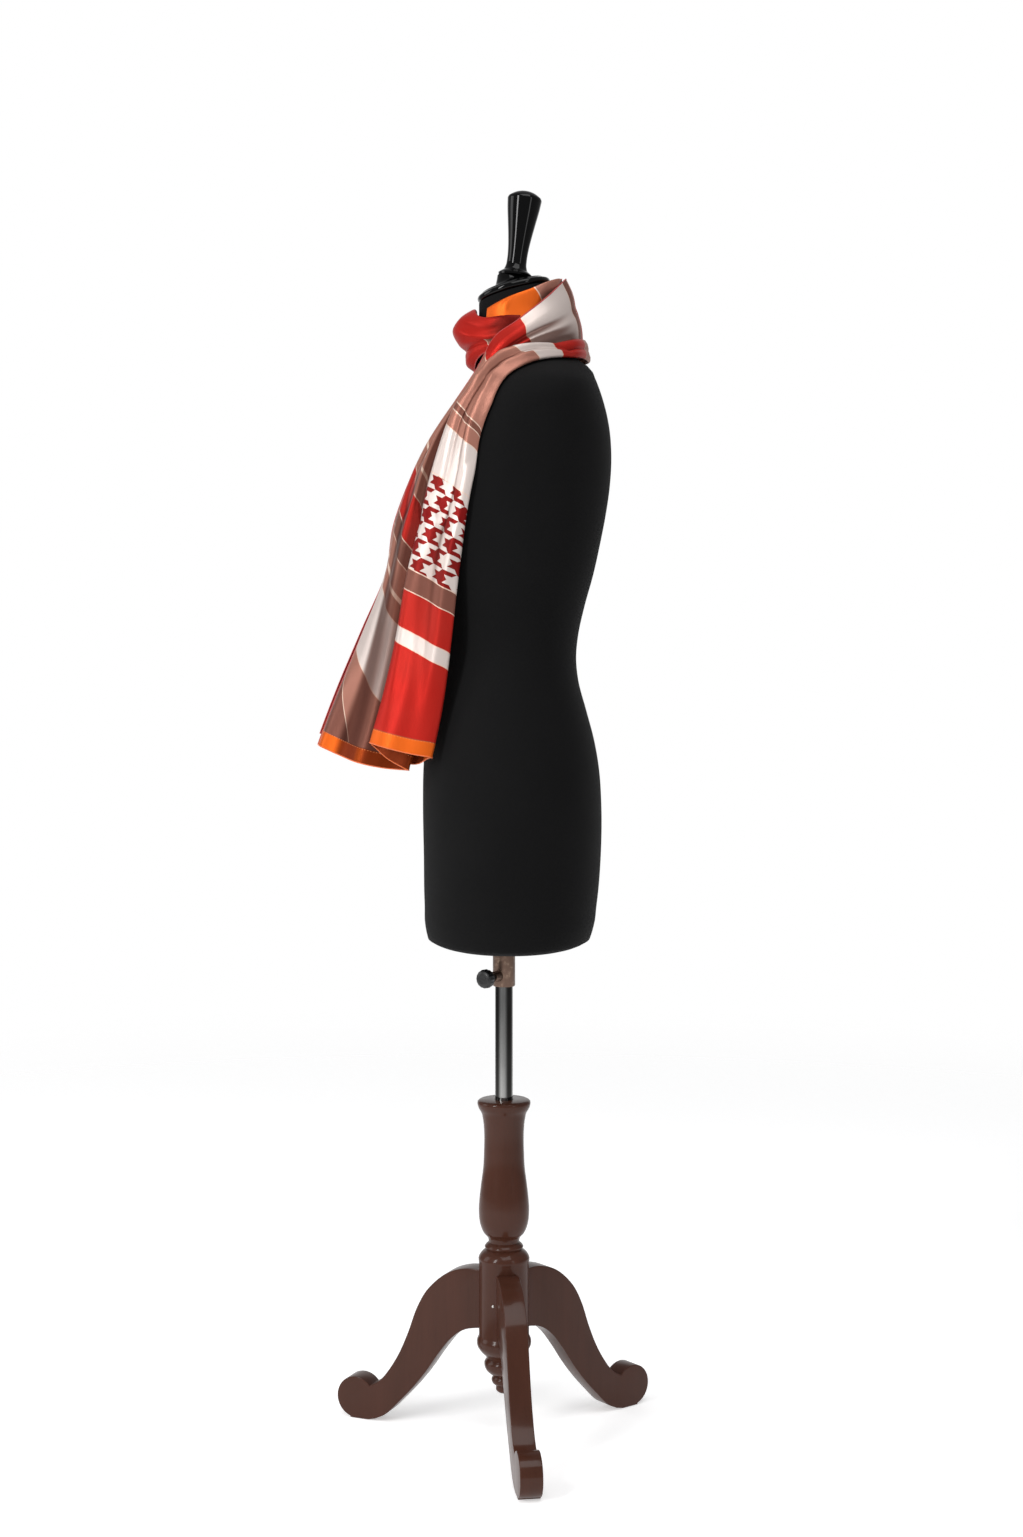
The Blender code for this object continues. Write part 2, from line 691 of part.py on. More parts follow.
def main():
    for old in list(bpy.data.objects):
        bpy.data.objects.remove(old, do_unlink=True)

    silk = material("silk", (0.62, 0.09, 0.06), 0.38)
    jersey = material("jersey", (0.012, 0.012, 0.013), 0.9)
    gloss = material("gloss_black", (0.006, 0.006, 0.006), 0.12)
    knob_plastic = material("knob_plastic", (0.012, 0.012, 0.012), 0.4)
    wood = material("walnut_lacquer", (0.075, 0.03, 0.022), 0.3)
    chrome = material("chrome", (0.75, 0.75, 0.75), 0.12, 1)
    bronze = material("bronze", (0.2, 0.13, 0.1), 0.4, 1)

    stand = pivot("stand", ORIGIN_SHIFT)
    swivel = pivot("swivel", (0, 0, 0), stand)
    lift = pivot("lift", (0, 0, 0), swivel)
    clamp = pivot("clamp", (0, 0, 0), lift)

    column = turned("column", COLUMN_PROFILE, 24, wood)
    place(column, parent=stand)
    hub = bore_cutter("hub clearance", *LEG_HUB_SPAN, HUB_RADIUS + LEG_HUB_GAP)
    place(hub, parent=stand)
    for name, direction in LEG_DIRECTIONS.items():
        leg = make_leg(name, direction, wood, hub)
        leg.parent = stand

    post = turned("post", POST_PROFILE, 24, chrome)
    place(post, parent=swivel)

    torso = make_form(jersey)
    bore = bore_cutter("post bore", FORM_BORE_BOTTOM, FORM_BORE_TOP, BORE_RADIUS)
    cut(torso, bore)
    for made in (torso, bore):
        place(made, parent=lift)
    cap = turned("neck_cap", CAP_PROFILE, 28, gloss)
    place(cap, (0, NECK_AXIS_Y, NECK_TOP), (NECK_TILT, 0, 0), lift)
    finial = turned("finial", FINIAL_PROFILE, 20, gloss)
    seat = bore_cutter("finial seat", 0, FINIAL_SEAT_DEPTH, FINIAL_SEAT_RADIUS)
    cut(cap, seat)
    for made in (finial, seat):
        place(made, (0, NECK_AXIS_Y, FINIAL_BASE_HEIGHT), (-FINIAL_LEAN, 0, 0), lift)
    make_collar(bronze, lift)

    unmoved = (0, 0, 0)
    stretches = {
        "stole_left_end": end_grid(1, 0, unmoved, unmoved, 0),
        "stole_right_end": end_grid(-1, FAR_END_START, NAPE_INSETS, NAPE_RAISES, FAR_END_SHORTER),
        "stole_throat_band": throat_grid(),
        "stole_inner_band": inner_grid(),
    }
    for name, grid in stretches.items():
        place(cloth_wall(name, grid, silk), parent=lift)

    knob = turned("knob", KNOB_PROFILE, 18, knob_plastic)
    reach = (KNOB_START * math.cos(CLAMP_TURN), KNOB_START * math.sin(CLAMP_TURN), BOSS_HEIGHT)
    place(knob, reach, (0, math.radians(90), CLAMP_TURN), clamp)


main()
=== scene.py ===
import math

import bmesh
import bpy
import numpy as np
from mathutils import Matrix, Vector, noise


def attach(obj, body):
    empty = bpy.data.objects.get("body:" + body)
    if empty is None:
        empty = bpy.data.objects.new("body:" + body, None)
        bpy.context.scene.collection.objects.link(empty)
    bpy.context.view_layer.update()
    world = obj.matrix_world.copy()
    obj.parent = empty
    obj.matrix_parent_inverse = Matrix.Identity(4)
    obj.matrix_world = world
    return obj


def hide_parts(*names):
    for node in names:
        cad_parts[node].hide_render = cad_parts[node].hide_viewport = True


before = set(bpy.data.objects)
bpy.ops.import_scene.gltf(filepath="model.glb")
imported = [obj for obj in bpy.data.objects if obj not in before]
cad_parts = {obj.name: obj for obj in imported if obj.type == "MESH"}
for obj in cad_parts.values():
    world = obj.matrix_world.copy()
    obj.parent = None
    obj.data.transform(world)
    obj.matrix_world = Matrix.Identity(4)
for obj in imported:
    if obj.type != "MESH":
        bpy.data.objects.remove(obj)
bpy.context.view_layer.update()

# Shapes are worked out in millimetres about the post's axis, then moved onto the part's own origin.
toPart = np.array((-23.73, 23.0, 0.0))
millimetre = 0.001


def smoothCurve(knots, values, places):
    knots = np.asarray(knots, float)
    values = np.asarray(values, float)
    slopes = np.gradient(values, knots, axis=0)
    places = np.clip(np.asarray(places, float), knots[0], knots[-1])
    cell = np.clip(np.searchsorted(knots, places, side="right") - 1, 0, len(knots) - 2)
    width = knots[cell + 1] - knots[cell]
    share = (places - knots[cell]) / width
    if values.ndim > 1:
        width = width[:, None]
        share = share[:, None]
    square = share * share
    cube = square * share
    first = (2 * cube - 3 * square + 1) * values[cell]
    first = first + (cube - 2 * square + share) * width * slopes[cell]
    return first + (3 * square - 2 * cube) * values[cell + 1] + (cube - square) * width * slopes[cell + 1]


def smoothStep(value):
    value = np.clip(value, 0, 1)
    return value * value * (3 - 2 * value)


def placed(name, data):
    piece = bpy.data.objects.new(name, data)
    bpy.context.scene.collection.objects.link(piece)
    return piece


def closedMesh(name, points, faces):
    # points are in millimetres about the post's axis, and the faces come out turned outward
    mesh = bpy.data.meshes.new(name)
    mesh.from_pydata(((np.asarray(points, float) + toPart) * millimetre).tolist(), [], faces)
    outward = bmesh.new()
    outward.from_mesh(mesh)
    bmesh.ops.recalc_face_normals(outward, faces=outward.faces)
    outward.to_mesh(mesh)
    outward.free()
    return mesh


def meshPiece(name, points, faces, finish, body, standsFor=(), sharp=None, coords=None):
    mesh = closedMesh(name, points, faces)
    mesh.shade_smooth()
    if sharp:
        mesh.set_sharp_from_angle(angle=math.radians(sharp))
    mesh.materials.append(finish)
    if coords is not None:
        layer = mesh.uv_layers.new(name="cut")
        corners = np.zeros(len(mesh.loops), int)
        mesh.loops.foreach_get("vertex_index", corners)
        layer.data.foreach_set("uv", np.asarray(coords, float)[corners].ravel())
    piece = placed(name, mesh)
    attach(piece, body)
    if standsFor:
        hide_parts(*standsFor)
    return piece


def evaluated(piece):
    # a piece's mesh as its modifiers make it
    bpy.context.view_layer.update()
    return bpy.data.meshes.new_from_object(piece.evaluated_get(bpy.context.evaluated_depsgraph_get()))


def tilted(points, place, about=(0, 0, 0)):
    turn = Matrix.Identity(3)
    for axis, angle in zip("XYZ", about):
        turn = Matrix.Rotation(angle, 3, axis) @ turn
    return np.asarray(points, float) @ np.array(turn).T + np.asarray(place, float)


def turnedPoints(profile, segments, closed=False):
    # rings round the z axis. A radius of 0 ends the shape on the axis, and a closed profile joins its last
    # ring to its first.
    points = []
    rings = []
    for radius, height in profile:
        count = 1 if radius == 0 else segments
        rings.append(list(range(len(points), len(points) + count)))
        for index in range(count):
            angle = 2 * math.pi * index / segments
            points.append((radius * math.cos(angle), radius * math.sin(angle), height))
    faces = []
    for upper, lower in zip(rings, rings[1:] + rings[:1] if closed else rings[1:]):
        for index in range(segments):
            after = (index + 1) % segments
            if len(upper) == 1:
                faces.append((upper[0], lower[index], lower[after]))
            elif len(lower) == 1:
                faces.append((upper[index], lower[0], upper[after]))
            else:
                faces.append((upper[index], lower[index], lower[after], upper[after]))
    if not closed:
        faces += [tuple(ring) for ring in (rings[0], rings[-1]) if len(ring) > 1]
    return points, faces


def easedProfile(corners, step, crisp):
    # a turner's flowing line through the corners, apart from the crisp ones
    corners = np.asarray(corners, float)
    run = np.concatenate([[0], np.cumsum(np.linalg.norm(np.diff(corners, axis=0), axis=1))])
    breaks = [0] + sorted(crisp) + [len(corners) - 1]
    line = []
    for first, last in zip(breaks, breaks[1:]):
        if last - first < 2:
            part = corners[first:last + 1]
        else:
            count = max(int((run[last] - run[first]) / step), 3)
            spots = np.linspace(run[first], run[last], count)
            part = smoothCurve(run[first:last + 1], corners[first:last + 1], spots)
        line.extend(part if not line else part[1:])
    return [(max(float(r), 0.0), float(z)) for r, z in line]


def bothWays(operation):
    # an operator and its reflected form
    return (lambda signal, other: signal.paint.maths(operation, signal, other),
            lambda signal, other: signal.paint.maths(operation, other, signal))


class Signal:  # a value that runs between shader nodes
    __add__, __radd__ = bothWays("ADD")
    __sub__, __rsub__ = bothWays("SUBTRACT")
    __mul__, __rmul__ = bothWays("MULTIPLY")
    __truediv__, __rtruediv__ = bothWays("DIVIDE")
    __lt__, __gt__ = bothWays("LESS_THAN")

    def __init__(self, paint, socket):
        self.paint = paint
        self.socket = socket

    def maths(self, operation, *others):
        return self.paint.maths(operation, self, *others)


class Paint:  # one finish and its nodes
    def __init__(self, name, colour, roughness, **fixed):
        self.material = bpy.data.materials.new(name)
        self.material.use_nodes = True
        self.tree = self.material.node_tree
        self.shader = self.tree.nodes["Principled BSDF"]
        self.set("Base Color", (*colour, 1))
        self.set("Roughness", roughness)
        for key, value in fixed.items():
            self.set(key.replace("_", " "), value)
        self.material.diffuse_color = (*colour, 1)

    def set(self, name, value):
        self.feed(self.shader.inputs[name], value)

    def feed(self, entry, value):
        if isinstance(value, Signal):
            self.tree.links.new(value.socket, entry)
        else:
            entry.default_value = value

    def node(self, kind, settings=None, inputs=None, output=0):
        made = self.tree.nodes.new("ShaderNode" + kind)
        for key, value in (settings or {}).items():
            setattr(made, key, value)
        for key, value in (inputs or {}).items():
            self.feed(made.inputs[key], value)
        return Signal(self, made.outputs[output])

    def maths(self, operation, *values):
        return self.node("Math", {"operation": operation}, dict(enumerate(values)))

    def parts(self, vector):
        split = self.node("SeparateXYZ", None, {0: vector})
        return [Signal(self, socket) for socket in split.socket.node.outputs]

    def mix(self, share, first, second, blend="MIX"):
        settings = {"data_type": "RGBA", "clamp_factor": True, "blend_type": blend}
        first, second = (value if isinstance(value, Signal) else (*value, 1) for value in (first, second))
        return self.node("Mix", settings, {0: share, 6: first, 7: second}, 2)

    def place(self, stretch=(1, 1, 1)):
        spot = self.node("TexCoord", None, None, "Object")
        return self.node("Mapping", None, {"Vector": spot, "Scale": stretch})

    def grain(self, where, scale, detail=2.0, roughness=0.5):
        inputs = {"Vector": where, "Scale": scale, "Detail": detail, "Roughness": roughness}
        return self.node("TexNoise", None, inputs, "Fac")

    def smooth(self, value, low, high, start=0.0, end=1.0):
        inputs = {"Value": value, "From Min": low, "From Max": high, "To Min": start, "To Max": end}
        return self.node("MapRange", {"interpolation_type": "SMOOTHSTEP"}, inputs)

    def relief(self, height, depth, strength):
        inputs = {"Height": height, "Distance": depth, "Strength": strength}
        self.set("Normal", self.node("Bump", None, inputs))


dyes = {
    "red": (0.43, 0.017, 0.012),
    "orange": (0.70, 0.118, 0.012),
    "mauve": (0.36, 0.160, 0.118),
    "dusk": (0.19, 0.075, 0.055),
    "cream": (0.65, 0.565, 0.525),
    "wine": (0.2, 0.008, 0.008),
    "line": (0.74, 0.55, 0.44),
}

silkLook = {
    "roughness": 0.34,
    "roughnessSpread": 0.05,
    "shader": {
        "IOR": 1.5, "Metallic": 0.32, "Specular_IOR_Level": 0.1, "Specular_Tint": (0.5, 0.34, 0.3, 1),
        "Anisotropic": 0.35,
    },
    "fleckScale": 1500,
    "ribPitch": 0.9,
    "ribDepth": 0.00006,
    "outline": 0.9,
    "outlineShare": 0.85,
    "softEdge": 0.3,
    "checkSize": 27,
    "checkTurn": 32,
    "hemDeep": 17.0,
    "hemSeam": (0.2, 0.9, 0.5),
    # painted shade in the troughs of the folds and in the pleat: the span of the shade attribute, the most
    # shade, and its tint
    "paintedShadeSpan": (0.1, 1.6),
    "hollowShade": 0.92,
    "paintedShadeTint": (0.17, 0.1, 0.085),
    "cloudScale": 9,
    "cloudShade": 0.10,
}


def blockDistance(across, along, corners):
    # how far outside a straight-sided block a spot lies, in millimetres of flat cloth
    middle = np.mean(corners, axis=0)
    distance = None
    for first, second in zip(corners, corners[1:] + corners[:1]):
        run = np.subtract(second, first)
        normal = np.array((run[1], -run[0])) / np.hypot(*run)
        if np.dot(normal, np.subtract(middle, first)) > 0:
            normal = -normal
        reach = float(np.dot(normal, first))
        tilt = along.maths("MULTIPLY_ADD", float(normal[1]), -reach)
        side = across.maths("MULTIPLY_ADD", float(normal[0]), tilt)
        distance = side if distance is None else distance.maths("MAXIMUM", side)
    return distance


def houndstooth(across, along, size, turn):
    # the old broken check of four dark and four pale threads, woven two over and two under
    cosine, sine = math.cos(math.radians(turn)), math.sin(math.radians(turn))
    wide = (across * cosine + along * sine) / size
    high = (along * cosine - across * sine) / size
    warp = wide.maths("FRACT") < 0.5
    weft = high.maths("FRACT") < 0.5
    over = ((wide + high) * 2).maths("FRACT") < 0.5
    return weft + (warp - weft) * over


def silkFinish(name, ground, blocks, hem=False):
    look = silkLook
    paint = Paint(name, dyes[ground], look["roughness"], **look["shader"])
    cut = paint.node("UVMap", {"uv_map": "cut"})
    across, along = (part * (1 / millimetre) for part in paint.parts(cut)[:2])
    colour = dyes[ground]
    soft = look["softEdge"]
    for dye, *numbers in blocks:
        distance = blockDistance(across, along, list(zip(numbers[::2], numbers[1::2])))
        inside = paint.smooth(distance, -soft, soft, 1, 0)
        if dye == "check":
            check = houndstooth(across, along, look["checkSize"], look["checkTurn"])
            fill = paint.mix(check, dyes["cream"], dyes["wine"])
        else:
            fill = dyes[dye]
        colour = paint.mix(inside, colour, fill)
        reach = look["outline"] * 0.5
        edge = paint.smooth(distance.maths("ABSOLUTE"), reach, reach + soft, look["outlineShare"], 0)
        colour = paint.mix(edge, colour, dyes["line"])
    if hem:
        band = paint.smooth(along, look["hemDeep"] - soft, look["hemDeep"] + soft, 1, 0)
        colour = paint.mix(band, colour, dyes["orange"])
        near, far, share = look["hemSeam"]
        seam = paint.smooth((along - look["hemDeep"]).maths("ABSOLUTE"), near, far, share, 0)
        colour = paint.mix(seam, colour, dyes["dusk"])
    # painted shade: the point attribute read here darkens the fold troughs, the pleat and the tucked throat
    # band in the base colour
    paintedShade = paint.node("Attribute", {"attribute_name": "paintedShade"}, None, "Fac")
    shaded = paint.smooth(paintedShade, *look["paintedShadeSpan"], 0.0, look["hollowShade"])
    colour = paint.mix(shaded, colour, look["paintedShadeTint"], "MULTIPLY")
    cloud = paint.grain(cut, look["cloudScale"], 3)
    shade = paint.smooth(cloud, 0.3, 0.7, 0.0, look["cloudShade"])
    paint.set("Base Color", paint.mix(shade, colour, dyes["dusk"]))
    rough, spread = look["roughness"], look["roughnessSpread"]
    paint.set("Roughness", paint.smooth(cloud, 0.25, 0.75, rough - spread, rough + spread))
    rib = ((across + along) * (2 * math.pi / look["ribPitch"])).maths("SINE")
    fleck = paint.grain(cut, look["fleckScale"], 1)
    paint.relief(rib * 0.5 + fleck, look["ribDepth"], 0.35)
    return paint.material


def jerseyFinish():
    paint = Paint("jerseyKnit", (0.0045, 0.0045, 0.0048), 0.86, Sheen_Weight=0.01, Specular_IOR_Level=0.09)
    where = paint.place()
    side, back, level = paint.parts(where)
    wale = ((side + back) * (2 * math.pi / 0.0012)).maths("SINE")
    course = (level * (2 * math.pi / 0.0016)).maths("SINE")
    fuzz = paint.grain(where, 900, 2)
    cloud = paint.grain(where, 14, 3)
    paint.set("Base Color", paint.mix(cloud, (0.0036, 0.0036, 0.0038), (0.0056, 0.0055, 0.0057)))
    paint.set("Roughness", paint.smooth(fuzz, 0.2, 0.8, 0.8, 0.92))
    paint.relief(wale * course + fuzz * 2, 0.00008, 0.5)
    return paint.material


def lacquerFinish():
    fixed = {"Coat_Weight": 0.3, "Coat_Roughness": 0.12, "Specular_IOR_Level": 0.06}
    paint = Paint("walnutLacquer", (0.062, 0.021, 0.014), 0.34, **fixed)
    broad = paint.grain(paint.place((1, 1, 0.12)), 22, 4, 0.6)
    pores = paint.grain(paint.place((1, 1, 0.05)), 420, 3, 0.6)
    streak = paint.mix(paint.smooth(broad, 0.36, 0.66), (0.052, 0.0185, 0.011), (0.062, 0.0215, 0.013))
    dark = paint.smooth(pores, 0.56, 0.72, 0.0, 0.2)
    paint.set("Base Color", paint.mix(dark, streak, (0.03, 0.01, 0.007)))
    paint.set("Roughness", paint.smooth(broad, 0.3, 0.7, 0.28, 0.4))
    paint.relief(paint.grain(paint.place(), 60, 2) * 2 + pores * 0.2, 0.0002, 0.35)
    return paint.material


def grainedFinish(name, colour, roughness, grain, spread, relief, **fixed):
    # one grain varies the roughness and the relief
    paint = Paint(name, colour, roughness, **fixed)
    value = paint.grain(paint.place(), *grain)
    if spread:
        paint.set("Roughness", paint.smooth(value, *spread))
    paint.relief(value, *relief)
    return paint.material


def glossFinish():
    return grainedFinish("pianoBlack", (0.001, 0.001, 0.0011), 0.03, (18, 2), (0.35, 0.75, 0.02, 0.05),
                         (0.00004, 0.1), Specular_IOR_Level=0.22)


def chromeFinish():
    # painted reflection: bright and dark stripes by turns round the tube, set in the base colour by the angle,
    # as polished steel looks in a white studio
    paint = Paint("polishedTube", (0.14, 0.14, 0.14), 0.1, Metallic=1.0)
    drawn = paint.grain(paint.place((1, 1, 0.02)), 900, 2)
    smear = paint.grain(paint.place((1, 1, 0.5)), 35, 3)
    side, back, _ = paint.parts(paint.place())
    back = back - float(toPart[1]) * millimetre
    around = back.maths("ARCTAN2", side - float(toPart[0]) * millimetre)
    # painted reflection: four bright stripes round the tube, mixed into the base colour
    reflectionStripes = ((around + 0.14) * 4).maths("COSINE")
    shade = paint.mix(paint.smooth(reflectionStripes, -0.8, 1.0), (0.035, 0.034, 0.032), (0.40, 0.40, 0.39))
    paint.set("Base Color", paint.mix(paint.smooth(smear, 0.4, 0.7, 0, 0.2), shade, (0.1, 0.1, 0.1)))
    paint.set("Roughness", paint.smooth(drawn, 0.2, 0.8, 0.06, 0.12))
    paint.relief(drawn, 0.00002, 0.1)
    return paint.material


def bronzeFinish():
    paint = Paint("bronzePaint", (0.15, 0.095, 0.07), 0.4, Metallic=0.85)
    wear = paint.grain(paint.place(), 160, 4, 0.65)
    fleck = paint.grain(paint.place(), 1400, 2)
    worn = paint.smooth(wear, 0.5, 0.72)
    paint.set("Base Color", paint.mix(worn, (0.14, 0.088, 0.066), (0.26, 0.18, 0.13)))
    paint.set("Roughness", paint.smooth(wear, 0.3, 0.7, 0.45, 0.3))
    paint.relief(fleck + wear * 2, 0.00012, 0.4)
    return paint.material


def knobFinish():
    return grainedFinish("mouldedKnob", (0.008, 0.008, 0.0085), 0.38, (1100, 3), (0.3, 0.7, 0.32, 0.46),
                         (0.0001, 0.35), IOR=1.49)


def pinFinish():
    return grainedFinish("steelPin", (0.55, 0.53, 0.5), 0.3, (900, 2), None, (0.00005, 0.3), Metallic=1.0)


def threadFinish(name, colour):
    return grainedFinish(name, colour, 0.5, (2600, 2), (0.3, 0.7, 0.42, 0.6), (0.0001, 0.4), Sheen_Weight=0.3)


# The dress form, as sections from its base to the top of its neck
formShape = {
    "segments": 112,
    "squareness": 2.1,
    "neckTilt": math.radians(15),
    "neckAxis": 13.0,
    "neckTop": 1370.0,
    "tiltStart": 1290.0,
    "boreRadius": 11.4,
    "boreTop": 944.0,
    "boreEdge": ((0, 2.0), (1.5, 0.5)),  # wider, above the base
    "baseInsets": (45, 8, 2),
    "baseLevels": (1.2, 3.0),
    "evenLevels": (6, 3, 7.0),  # above the base, short of the top, step
    "topLevels": (1.2, 0.3),
    "topInsets": (1.5, 20),
    "sections": (  # height, front, back, half width, widest at
        (594, -78, 90, 146, 7), (598, -88, 100, 156, 7), (610, -93, 106, 162, 8), (640, -95, 111, 166, 8),
        (700, -96, 116, 170, 9), (760, -97, 116.5, 168, 9), (799, -96.5, 114, 163, 8), (835, -94, 108, 154, 7),
        (871, -89, 98.5, 142, 5), (907, -82, 89, 130, 3), (935, -79, 86.5, 124, 2), (961, -81, 89, 124, 3),
        (997, -92, 97, 128, 5), (1033, -106, 107, 133, 7), (1069, -115, 115, 137, 8),
        (1105, -117, 122, 140, 12), (1141, -107, 127, 145, 20), (1177, -89, 128.5, 154, 30),
        (1213, -64, 125, 165, 38), (1234, -47, 120, 168, 42), (1250, -38, 115, 158, 44),
        (1264, -33, 110, 132, 43), (1277, -31, 104, 104, 40), (1288, -31, 89, 82, 35), (1299, -31, 80, 65, 28),
        (1311, -31, 70, 56, 22), (1324, -30.5, 63, 50, 18), (1340, -30.5, 58.5, 46.5, 14.5),
        (1356, -30, 56.5, 44.5, 13.3), (1370, -30, 56, 43.5, 13),
    ),
}


def neckRise(y, level):
    # the neck's sections tip forward little by little, up to its top
    shape = formShape
    share = smoothStep((level - shape["tiltStart"]) / (shape["neckTop"] - shape["tiltStart"]))
    return share * math.tan(shape["neckTilt"]) * (y - shape["neckAxis"])


def formRatio(points):
    # 1 on the form's skin, more outside it and less inside it
    level = points[:, 2].copy()
    for _ in range(4):
        level = points[:, 2] - neckRise(points[:, 1], level)
    table = np.asarray(formShape["sections"], float)
    front, back, halfWidth, widest = smoothCurve(table[:, 0], table[:, 1:], level).T
    offset = points[:, 1] - widest
    depth = np.where(offset < 0, widest - front, back - widest)
    power = formShape["squareness"]
    return (np.abs(points[:, 0] / halfWidth) ** power + np.abs(offset / depth) ** power) ** (1 / power)


def keepOffForm(grid, clearance, rounds=8, probe=0.5, furthest=6):
    # moves the points of a grid that are too near the form's skin straight out of it
    moved = grid.reshape(-1, 3)
    clearance = np.broadcast_to(clearance, grid.shape[:2]).ravel()
    for _ in range(rounds):
        ratio = formRatio(moved)
        gradient = np.empty_like(moved)
        for axis in range(3):
            ahead = moved.copy()
            ahead[:, axis] += probe
            gradient[:, axis] = (formRatio(ahead) - ratio) / probe
        steepness = np.maximum(np.linalg.norm(gradient, axis=1), 1e-6)
        shortfall = np.clip(clearance - (ratio - 1) / steepness, 0, furthest)
        moved = moved + gradient / steepness[:, None] * shortfall[:, None]
    return moved.reshape(grid.shape)


def makeForm(finish):
    shape = formShape
    table = np.asarray(shape["sections"], float)
    bottom, top = table[0, 0], table[-1, 0]
    turns = 2 * math.pi * np.arange(shape["segments"]) / shape["segments"]
    cosine, sine = np.cos(turns), np.sin(turns)
    power = 2 / shape["squareness"]
    rings = []

    def boreRing(radius, level):
        rings.append(np.stack([radius * cosine, radius * sine, np.full_like(sine, level)], axis=1))

    def skinRing(level, inset=0.0):
        front, back, halfWidth, widest = smoothCurve(table[:, 0], table[:, 1:], [level])[0]
        depth = np.where(sine > 0, back - widest, widest - front) - inset
        x = (halfWidth - inset) * np.copysign(np.abs(cosine) ** power, cosine)
        y = widest + depth * np.copysign(np.abs(sine) ** power, sine)
        rings.append(np.stack([x, y, level + neckRise(y, level)], axis=1))

    boreRing(shape["boreRadius"], shape["boreTop"])
    for wider, above in shape["boreEdge"]:
        boreRing(shape["boreRadius"] + wider, bottom + above)
    for inset in shape["baseInsets"]:
        skinRing(bottom, inset)
    above, short, step = shape["evenLevels"]
    levels = [bottom + level for level in shape["baseLevels"]]
    levels += [*np.arange(bottom + above, top - short, step)]
    for level in levels + [top - below for below in shape["topLevels"]]:
        skinRing(level)
    for inset in shape["topInsets"]:
        skinRing(top, inset)
    index = np.arange(len(rings) * len(turns)).reshape(len(rings), -1)
    after = np.roll(index, -1, axis=1)
    sides = np.stack([index[:-1], after[:-1], after[1:], index[1:]], axis=2).reshape(-1, 4)
    faces = index[[0, -1]].tolist() + sides.tolist()
    meshPiece("formTorso", np.concatenate(rings), faces, finish, "form", ["torso"], sharp=50)
    print("form made")


crispAngle = 38  # degrees: a turned or carved edge that bends more than this stays sharp


def turnedPiece(name, profile, segments, finish, body, nodes=(), place=(0, 0, 0), about=(0, 0, 0),
                sharp=crispAngle):
    points, faces = turnedPoints(profile, segments)
    return meshPiece(name, tilted(points, place, about), faces, finish, body, nodes, sharp=sharp)


def carve(piece, points, faces):
    # takes a closed shape, in millimetres, out of a piece, and keeps the result as plain mesh
    cutter = placed("cutter", closedMesh("cutter", points, faces))
    cut = piece.modifiers.new("cut", "BOOLEAN")
    cut.operation = "DIFFERENCE"
    cut.solver = "EXACT"
    cut.object = cutter
    made = evaluated(piece)
    piece.modifiers.clear()
    piece.data = made
    made.shade_smooth()
    made.set_sharp_from_angle(angle=math.radians(crispAngle))
    bpy.data.objects.remove(cutter, do_unlink=True)


columnShape = {
    "segments": 96,
    "step": 1.5,
    "profile": (  # radius, height
        (11.2, 329.7), (11.2, 404), (28.5, 404), (31.2, 402.5), (31.2, 396), (29.6, 392.5), (27.4, 389),
        (25.2, 380), (24, 368), (24, 342), (25, 322), (27.6, 302), (29.6, 284), (30.2, 270), (28.8, 256),
        (24.6, 245), (19.0, 238), (18.2, 233.5), (21.2, 231), (23.2, 228), (21.6, 225), (25.8, 222),
        (28.4, 219), (30.6, 214), (30, 209), (30, 122), (32.4, 116), (32.4, 111), (28, 103), (23, 98),
        (20.5, 94), (23.4, 90), (22.8, 83), (17, 76), (12.5, 73), (15, 69), (14, 65), (9.4, 61), (9.6, 56),
        (6, 52.6), (0, 51.8),
    ),
    "crisp": [1, 2, 5, 17, 20, 24, 25, 30, 34, 37],
}


def makeColumn(finish):
    profile = easedProfile(columnShape["profile"], columnShape["step"], columnShape["crisp"])
    segments = columnShape["segments"]
    turnedPiece("column_turned", profile, segments, finish, "stand", ["column"])


legShape = {
    "thickness": 26.0,
    "edgeRounding": 2.6,
    "roundingSteps": 4,
    "roundedFrom": math.radians(50),
    "hub": (30.05, 260, 60),  # radius, top, bottom
    "hubSegments": 96,
    "directions": {"near": 8.3, "back": 127.3, "front": 247.3},
    "scroll": (192.6, 25.4, 25.0),
    "scrollArc": (math.radians(140), math.radians(-72)),
    "scrollLowest": 0.6,
    "outline": (("upper", 54), ("scroll", 42), ("foot", 2), ("lower", 48)),  # in turn, with their points
    "footFlat": (200.0, 176.0),
    "upper": (  # out from the stand's axis, height
        (18, 199), (46, 199), (72, 189.5), (95.5, 168.5), (110, 144), (121.5, 113.5), (134.5, 85), (150, 61),
        (162, 48.2), (171.5, 42.5),
    ),
    "lower": (
        (166, 2.4), (152, 9.6), (137, 24), (117, 45), (99, 67), (81, 92.5), (64, 113), (45, 126), (18, 131),
    ),
}


